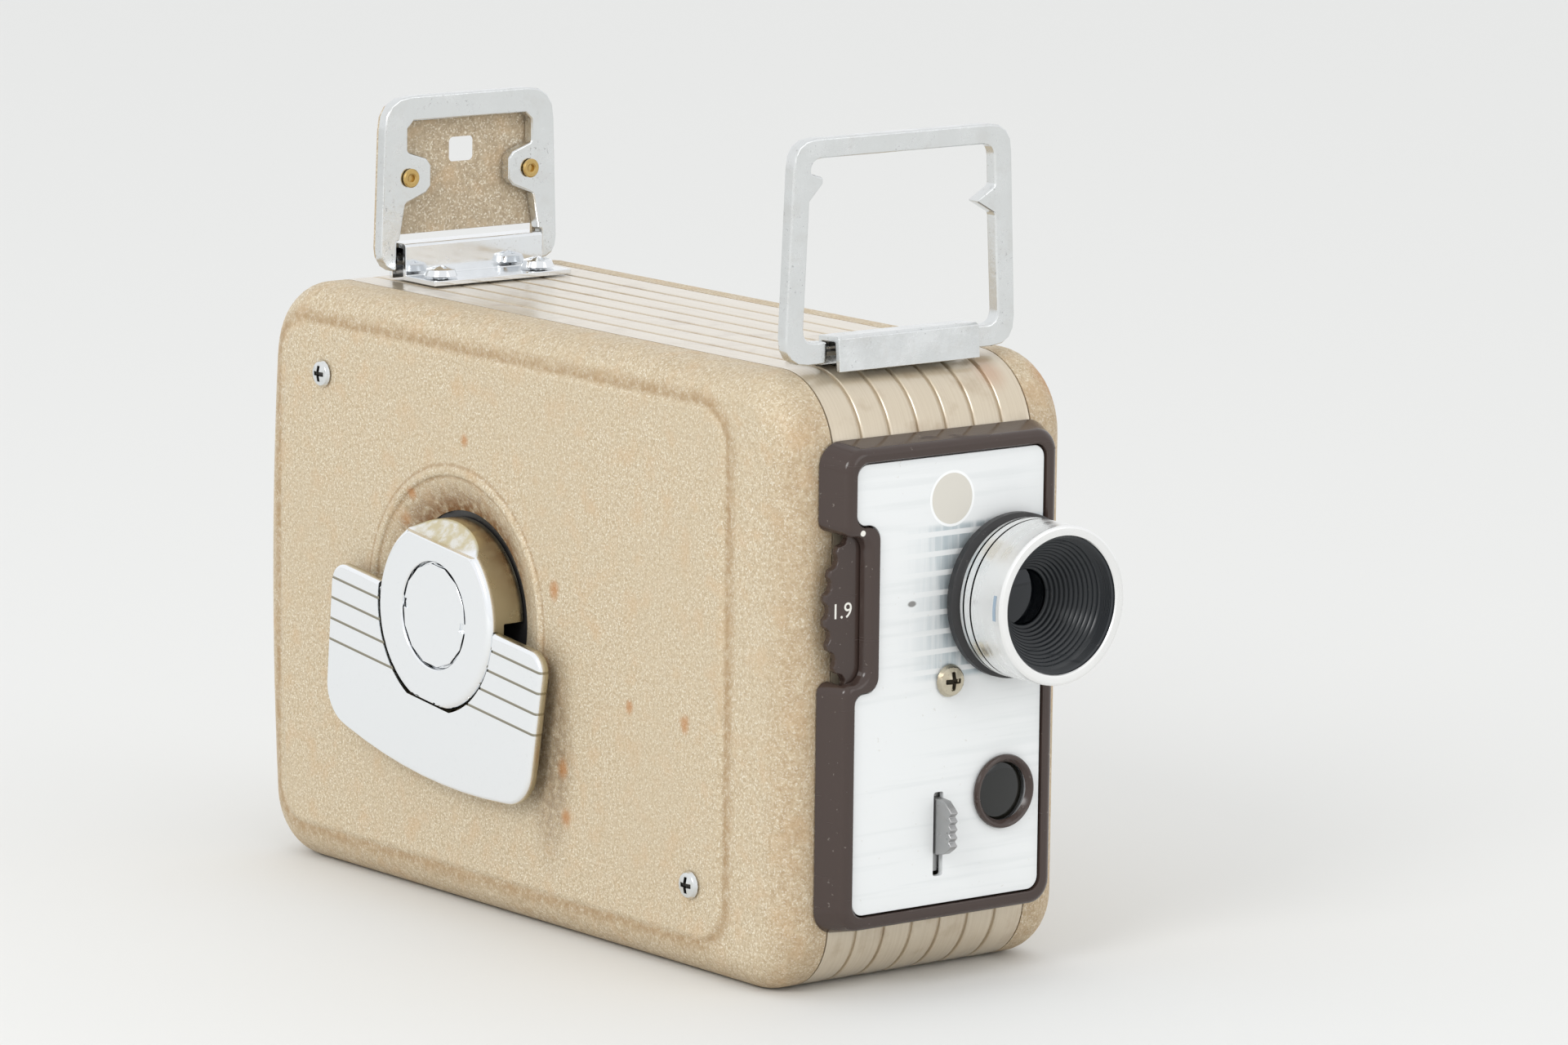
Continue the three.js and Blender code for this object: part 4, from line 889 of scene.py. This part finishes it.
# %% Mould the frame
BEZEL_FRONT, BEZEL_BACK = -85.6, -80.25
WHEEL_X, WHEEL_Z, WHEEL_FACE, STOP_STEP = -2.4, 66.7, -83.4, 24
bezel_outline = bitten_outline(22.5, 12.2, 93.9, -17.8, 4.0, 0)
bezel = leaning_block(bezel_outline, BEZEL_FRONT, BEZEL_BACK, (1.095, 1.027, 1))
soften(
    bezel, 1.1, 5, 40,
    only=lambda edge: all(abs(v.co.y / MM - BEZEL_FRONT) < 0.01 for v in edge.verts),
)
seat_outline = bitten_outline(20.5, 14.3, 91.7, -15.5, 2.4, 1.6)
seat = pulled(*seat_outline, -90, -70, ON_FRONT)
seat_lip = leaning_block(seat_outline, BEZEL_FRONT + 0.22, BEZEL_FRONT - 0.08, (1.0146, 1.0078, 1))
wheel_room = rod(23.5, WHEEL_FACE - 0.3, -70, moved(WHEEL_X, 0, WHEEL_Z) @ ON_FRONT)
bezel = carved(bezel, seat, seat_lip, wheel_room)
make_piece("front_moulding", bezel, "chassis", dark_plastic, ["front_bezel"])

# %% Print and punch the plate
PLATE_FACE, PLATE_BACK = -85, -84
SLOT_LEFT, SLOT_RIGHT, SLOT_LOW, SLOT_TOP = -2.85, -0.75, 19.4, 33.9


def front_hole(x, z, radius):
    """A round cutter straight through the plate, from just proud of it."""
    return rod(radius, PLATE_FACE - 1, PLATE_BACK + 4, moved(x, 0, z) @ ON_FRONT, 64)


plate_outline = bitten_outline(20.2, 14.6, 91.4, -15.2, 2.2, 1.9)
plate = pulled(*plate_outline, PLATE_FACE, PLATE_BACK, ON_FRONT)
soften(
    plate, 0.12, 2, 60,
    only=lambda edge: all(v.co.y < (PLATE_FACE + 0.1) * MM for v in edge.verts),
)
slot_corners = [
    (SLOT_LEFT, SLOT_LOW), (SLOT_RIGHT, SLOT_LOW), (SLOT_RIGHT, SLOT_TOP), (SLOT_LEFT, SLOT_TOP),
]
slot = pulled(slot_corners, [0.5] * 4, -88, -80, ON_FRONT)
holes = [
    front_hole(LENS_X, LENS_Z, 6.5), front_hole(WINDOW_X, WINDOW_Z, 5.7),
    front_hole(PLATE_SCREW[0], PLATE_SCREW[2], 1.7),
]
plate = carved(plate, slot, *holes)
make_piece("name_plate", plate, "chassis", printed_plate, ["front_plate"])

# %% [markdown]
# ## Exposure wheel
# A dark moulded wheel with a scalloped rim. The CAD solid has the right scallops, so a merged
# copy only needs its edges rounded. Its numerals are text turned into mesh, because text objects
# don't travel well. Three of the five stops carry one, each lying on the face at its own stop.

# %% Round the wheel
wheel = soften(cad_copy("exposure_wheel"), 0.3, 3, 35)
make_piece("scalloped_wheel", wheel, "exposure", dark_plastic, ["exposure_wheel"])


# %% Number the stops
def numeral(name, words, size, place):
    """Raised print on the wheel: text made into a thin mesh and set in place."""
    text = bpy.data.curves.new(name, "FONT")
    text.body = words
    text.size = size * MM
    text.align_x = "CENTER"
    text.align_y = "CENTER"
    text.extrude = 0.03 * MM
    holder = bpy.data.objects.new(name, text)
    bpy.context.scene.collection.objects.link(holder)
    evaluated = holder.evaluated_get(bpy.context.evaluated_depsgraph_get())
    bm = bmesh.new()
    bm.from_mesh(evaluated.to_mesh())
    evaluated.to_mesh_clear()
    bpy.data.objects.remove(holder)
    bpy.data.curves.remove(text)
    make_piece(name, settled(bm, place), "exposure", white_paint)


facing_front = Matrix.Rotation(math.radians(90), 4, "X")
for stop, words in [(0, "1.9"), (2, "4"), (4, "8")]:
    spin_to = Matrix.Rotation(math.radians(-STOP_STEP * stop), 4, "Y")
    wheel_centre = moved(WHEEL_X, WHEEL_FACE - 0.02, WHEEL_Z)
    place = wheel_centre @ spin_to @ moved(-19.6, 0, 0) @ facing_front
    numeral(f"stop_numeral_{stop + 1}", words, 3.7, place)

# %% Print the index dot on the moulding
index_dot = rod(0.5, BEZEL_FRONT - 0.06, BEZEL_FRONT + 0.1, moved(-19.4, 0, 80.0) @ ON_FRONT, 24)
make_piece("index_dot", index_dot, "chassis", white_paint)

# %% [markdown]
# ## Lens
# Everything on the lens is turned on a lathe, so everything here is spun. The barrel's two
# grooves and the rim are in the profile. Inside the mouth come a few turns of fine filter thread
# and then a cone of ribs that swallow stray light: both are zigzags in the profile.

# %% Turn the barrel
lens_axis = moved(LENS_X, 0, LENS_Z) @ ON_FRONT


def groove(y, half_width=0.21, depth=0.5):
    """Four points of the profile that step down into a groove and out again."""
    floor_radius = BARREL_RADIUS - depth
    return [
        (BARREL_RADIUS, y + half_width), (floor_radius, y + half_width),
        (floor_radius, y - half_width), (BARREL_RADIUS, y - half_width),
    ]


barrel_profile = [
    (9.4, -88.6), (13.35, -88.6), (13.6, -88.8), *groove(GROOVES_Y[0]), *groove(GROOVES_Y[1]),
    (BARREL_RADIUS, -98.75), (13.62, -99.05), (13.35, -99.25), (13.1, -99.3), (12.2, -99.3),
    (11.95, -99.25), (11.8, -99.05), (11.8, -97), (12.0, -89.2), (9.4, -88.6),
]
barrel = spun(barrel_profile, lens_axis, 160)
make_piece("lens_tube", barrel, "chassis", aluminium, ["lens_barrel"])

# %% Turn the thread and the ribbed cone
THREAD_TURNS, THREAD_PITCH, INNER_RIBS = 5, 0.42, 12
CONE_MOUTH_Y, CONE_LENGTH, CONE_MOUTH_RADIUS, CONE_NARROWING = -96.5, 7.0, 11.3, 5.9
thread, ribs_inside = [], []
for turn in range(THREAD_TURNS):
    y = -98.7 + turn * THREAD_PITCH
    thread += [(11.75, y), (11.4, y + 0.2)]
for rib in range(INNER_RIBS):
    share = rib / (INNER_RIBS - 1)
    y, radius = CONE_MOUTH_Y + CONE_LENGTH * share, CONE_MOUTH_RADIUS - CONE_NARROWING * share
    for inwards, along_axis in [(0, 0), (0.5, 0.1), (0.62, 0.24), (0.35, 0.36)]:
        ribs_inside.append((radius - inwards, y + along_axis))
hood_start = (11.78, -98.9)
hood_profile = [
    hood_start, *thread, (11.5, -96.6), *ribs_inside, (4.9, -89.0), (11.7, -88.9), hood_start,
]
hood = spun(hood_profile, lens_axis, 128)
make_piece("lens_hood", hood, "chassis", lens_black, ["lens_hood_cone"])

# %% Turn the base ring and grind the glasses
base_profile = [
    (5.4, -83.7), (6.2, -83.7), (6.2, -85.9), (13.9, -85.9), (14.2, -86.1), (14.2, -87.3),
    (13.95, -87.6), (13.3, -87.9), (12.9, -88.2), (5.4, -88.2), (5.4, -83.7),
]
make_piece("lens_base", spun(base_profile, lens_axis), "chassis", black_paint, ["lens_base_ring"])


def ground_glass(radius, back, edge, crown):
    """A disc with a domed front: the dome is an arc in the profile."""
    shares = (1, 0.85, 0.7, 0.5, 0.3, 0.15, 0)
    arc = [(radius * share, edge - crown * (1 - share**2)) for share in shares]
    return [(0, back), (radius, back), *arc]


for name, node_name, sizes in [
    ("front_glass", "front_element", (5.6, -88.3, -88.75, 0.7)),
    ("rear_glass", "rear_element", (4.9, -85.3, -86.5, 0.5)),
]:
    glass = spun(ground_glass(*sizes), lens_axis, 64)
    make_piece(name, glass, "chassis", lens_glass, [node_name])

# %% [markdown]
# A short blue-grey line is printed on the barrel near its rim as a focusing mark. It follows the
# barrel, so it is a small slice of a spun strip rather than a flat chip.

# %% Print the barrel's mark
def barrel_mark(radius, y0, y1, start, sweep):
    """A thin strip that lies on the barrel from y0 to y1, swept from `start` by `sweep` degrees."""
    bm = bmesh.new()
    corners = [(0.02, y0), (0.05, y0), (0.05, y1), (0.02, y1)]
    ends = [bm.verts.new(Vector((radius + lift, 0, y)) * MM) for lift, y in corners]
    lines = [bm.edges.new(pair) for pair in zip(ends, ends[1:] + ends[:1])]
    bmesh.ops.spin(
        bm, geom=ends + lines, cent=(0, 0, 0), axis=(0, 0, 1), angle=math.radians(sweep), steps=12,
        use_duplicate=False,
    )
    bmesh.ops.holes_fill(bm, edges=bm.edges[:], sides=4)
    return settled(bm, lens_axis @ Matrix.Rotation(math.radians(start), 4, "Z"))


mark_blue = plastic_finish("mark_blue", rgb(150, 168, 184), 0.4, 0.1)
mark = barrel_mark(BARREL_RADIUS, -98.2, -97.5, 168, 18)
make_piece("barrel_mark", mark, "chassis", mark_blue)

# %% [markdown]
# ## Viewfinder window
# The lower window is a glossy plastic ring round a recessed glass. The ring's lip is a rounded
# profile, spun.

# %% Spin the window
window_axis = moved(WINDOW_X, 0, WINDOW_Z) @ ON_FRONT
lip_profile = [
    (5.0, -85.3), (6.35, -85.3), (6.4, -85.7), (6.25, -86.05), (5.95, -86.2), (5.6, -86.1),
    (5.25, -85.7), (5.0, -85.3),
]
lip = spun(lip_profile, window_axis, 80)
make_piece("window_lip", lip, "chassis", dark_plastic, ["window_ring"])
pane_profile = [(0, -83.8), (5.3, -83.8), (5.3, -84.4), (5.0, -84.6), (3.5, -84.85), (0, -85.0)]
pane = spun(pane_profile, window_axis, 64)
make_piece("window_pane", pane, "chassis", window_glass, ["window_glass"])

# %% [markdown]
# ## Finders, screws and small fittings
# These are cast, stamped or turned parts whose CAD shapes are already right. What a drawing
# leaves out is the small radius on every edge, and that radius is what catches the light. So
# each is a merged copy with its edges softened by its own amount.

# %% Soften the small parts
SMALL_PARTS = [
    ("front_finder_frame", "front_finder_rim", "front_finder", "chrome", frame_chrome, 0.42, 50),
    ("front_finder_clip", "front_finder_strap", "chassis", "chrome", frame_chrome, 0.16, 30),
    ("rear_finder_frame", "rear_finder_rim", "rear_finder", "chrome", frame_chrome, 0.4, 50),
    ("rear_finder_plate", "rear_finder_sheet", "rear_finder", "tan_paint", tan_paint, 0.12, 50),
    ("rear_finder_bracket", "finder_foot", "chassis", "chrome", chrome, 0.14, 30),
    ("key_cap", "key_centre", "key", "chrome", key_chrome, 0.14, 50),
    ("release_lever", "release_thumb", "release", "steel", steel, 0.14, 40),
    ("latch_knob", "latch_grip", "latch", "chrome", chrome, 0.22, 40),
    ("cover_screw_rear", "cover_head_rear", "chassis", "nickel", screw_chrome, 0.12, 40),
    ("cover_screw_front", "cover_head_front", "chassis", "nickel", screw_chrome, 0.12, 40),
    ("plate_screw", "plate_head", "chassis", "nickel", nickel, 0.14, 40),
    ("bracket_screw_left", "foot_head_left", "chassis", "chrome", chrome, 0.14, 40),
    ("bracket_screw_right", "foot_head_right", "chassis", "chrome", chrome, 0.14, 40),
]
for node_name, name, body, slot, finish, width, crisp in SMALL_PARTS:
    part = soften(cad_copy(node_name), width, 3, crisp)
    make_piece(name, part, body, finish, [node_name], crisp=25)

# %% [markdown]
# ## Winding key
# The key is chromed: a deep half-round hub with a scalloped thumb rest, and a paddle that lies
# folded against the body. The hub is a turned slug with its lower back milled away, so it is
# spun first and cut after. The whole key is drawn level and then tilted as it stands at rest.

# %% Turn and mill the hub
HUB_RADIUS, HUB_FACE, HUB_BACK, HUB_ROLL = 16.8, -35.9, -28.4, 1.3
FLANGE_BACK, HUB_FLAT = -32.6, 15.6
key_place = moved(0, KEY_Y, KEY_Z) @ Matrix.Rotation(KEY_TILT, 4, "X") @ ON_SIDE


def key_block(a0, a1, b0, b1, low, high):
    """A plain block drawn in the key's own level directions, for milling."""
    return pulled([(a0, b0), (a1, b0), (a1, b1), (a0, b1)], [0] * 4, low, high, key_place)


hub_edge = [
    (HUB_RADIUS - HUB_ROLL * (1 - math.sin(t)), HUB_FACE + HUB_ROLL * (1 - math.cos(t)))
    for t in [math.radians(d) for d in range(0, 91, 15)]
]
pocket = [
    (0, HUB_FACE + 1.4), (9.5, HUB_FACE + 1.4), (9.5, HUB_FACE + 0.25), (9.7, HUB_FACE + 0.05),
    (9.95, HUB_FACE),
]
hub = spun([*pocket, *hub_edge, (HUB_RADIUS, HUB_BACK), (0, HUB_BACK)], key_place, 144)
above_hub = key_place @ moved(0, HUB_RADIUS + 1.7, HUB_FACE - 2.1)
scallop = rod(6, -20, 20, above_hub @ Matrix.Rotation(math.radians(90), 4, "Y"), 64)
hub = carved(
    hub,
    key_block(-20, 20, -20, 2.7, FLANGE_BACK, -20),
    key_block(-20, 20, -20, -HUB_FLAT, -40, -20),
    scallop,
)
soften(hub, 0.18, 3, 35)
make_piece("key_boss", hub, "key", key_chrome, ["key_hub"])

# %% [markdown]
# The paddle's outline has a gently bowed foot. Its rim is well rounded, and four engraved lines
# run level with its shoulders on each side of the hub, cut as slots so that they hold shadow.

# %% Shape the paddle
PADDLE_FACE, PADDLE_BACK, LINE_DEPTH, HUB_GAP = -35.5, -33.3, 0.3, 0.5
FOOT_BOW = [(a, -29.8 + 2.6 * (a / 26) ** 2) for a in range(24, -25, -6)]
paddle_corners = [(-32, 1.5), (-30.7, -26.2), *reversed(FOOT_BOW), (30.7, -26.2), (32, 1.5)]
paddle_radii = [4, 5.5] + [0] * len(FOOT_BOW) + [5.5, 4]
paddle = pulled(paddle_corners, paddle_radii, PADDLE_FACE, PADDLE_BACK, key_place)
soften(paddle, 0.75, 5, 50)
clearance = carved(
    rod(HUB_RADIUS + HUB_GAP, -50, -20, key_place, 144),
    key_block(-30, 30, -40, -HUB_FLAT - HUB_GAP, -60, -10),
)
lines = [
    key_block(-40, 40, b - LINE_HALF, b + LINE_HALF, PADDLE_FACE - 1, PADDLE_FACE + LINE_DEPTH)
    for b in PADDLE_LINES
]
paddle = carved(paddle, clearance, *lines)
make_piece("key_wing", paddle, "key_paddle", key_chrome, ["key_paddle"])

# %% Turn the finder's rivets
RIVET_X, RIVET_Z = 13.3, 124.1
rivet_profile = [
    (0.7, 52.9), (0.7, 52.45), (0.95, 52.3), (1.5, 52.3), (1.72, 52.5), (1.7, 52.72), (1.0, 52.72),
    (1.0, 56.6), (1.9, 56.6), (1.6, 57.3), (0, 57.3), (0, 52.9), (0.7, 52.9),
]
for side, name in [(-1, "left"), (1, "right")]:
    rivet = spun(rivet_profile, moved(RIVET_X * side, 0, RIVET_Z) @ ON_FRONT, 32)
    make_piece(f"eyelet_{name}", rivet, "rear_finder", brass, [f"finder_rivet_{name}"])

# %% [markdown]
# ## Parts behind the covers
# The clockwork, the film gate and the spindles stand behind the covers, and some of them show
# when the door is lifted. Their CAD solids are right as they are, and so are those of a few
# small outer parts. They only take their finishes, by name.

# %% Paint the inner parts
INNER_FINISHES = {
    steel: "mechanism_plate motor_pillar_low_rear motor_pillar_low_front motor_pillar_top_rear "
    "motor_pillar_top_front tripod_bush exposure_stud release_spring key_pin_rear key_pin_front "
    "winding_arbor mainspring shutter_shaft claw film_gate pressure_plate supply_spindle "
    "takeup_spindle latch_bar",
    brass: "motor_bridge spring_barrel stage_one_gear crown_gear governor",
    lens_black: "shutter_disc",
    dial_white: "counter_dial",
    window_glass: "counter_window",
}
for finish, names in INNER_FINISHES.items():
    for name in names.split():
        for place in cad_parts[name].material_slots:
            place.material = finish
bare = [
    name for name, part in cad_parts.items()
    if not part.hide_render and not any(p.material in INNER_FINISHES for p in part.material_slots)
]
print("shown CAD parts without a finish:", bare)

# %% [markdown]
# ## Studio
# A pale sheet, a bright surround and two soft lamps, as for a catalogue picture. The first lamp
# stands high on the key's side, and a broader, weaker one stands in front to fill the plate.
# Chrome shows whatever surrounds it, so the surround is a plain, nearly white one.

# %% Floor
FLOOR_RADIUS = 14
disc = bmesh.new()
bmesh.ops.create_circle(disc, cap_ends=True, segments=96, radius=FLOOR_RADIUS)
floor = lone_object("floor", disc)
floor.data.materials.append(new_finish("pale_sheet", rgb(228, 228, 226), 0.75)[0])
floor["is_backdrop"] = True
print("floor radius in metres:", FLOOR_RADIUS)


# %% Lamps and surround
def soft_lamp(name, size, power, spot, aim):
    """A round area lamp at `spot`, turned to face `aim`. Both are in metres."""
    lamp = bpy.data.lights.new(name, "AREA")
    lamp.shape = "DISK"
    lamp.size = size
    lamp.energy = power
    holder = bpy.data.objects.new(name, lamp)
    holder.location = spot
    holder.rotation_euler = (Vector(spot) - Vector(aim)).to_track_quat("Z", "Y").to_euler()
    bpy.context.scene.collection.objects.link(holder)


OBJECT_MIDDLE = (0, 0, 0.06)
soft_lamp("key_lamp", 0.7, 8, (-1.35, -0.55, 0.95), OBJECT_MIDDLE)
soft_lamp("front_fill", 1.2, 3, (0.7, -1.9, 0.7), OBJECT_MIDDLE)

surround = bpy.data.worlds.new("surround")
surround.use_nodes = True
sky = surround.node_tree.nodes["Background"]
sky.inputs["Color"].default_value = rgba(253, 254, 255)
sky.inputs["Strength"].default_value = 1.0
bpy.context.scene.world = surround
bpy.context.scene.view_settings.view_transform = "Standard"
bpy.context.scene.view_settings.look = "None"
print("lamps:", len(bpy.data.lights))

# %% Measure and finish
visual_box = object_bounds()
sizes = {"cad": [list(corner) for corner in cad_box], "visual": [list(corner) for corner in visual_box]}
print("visual box in mm:", [[round(v / MM, 1) for v in corner] for corner in visual_box])
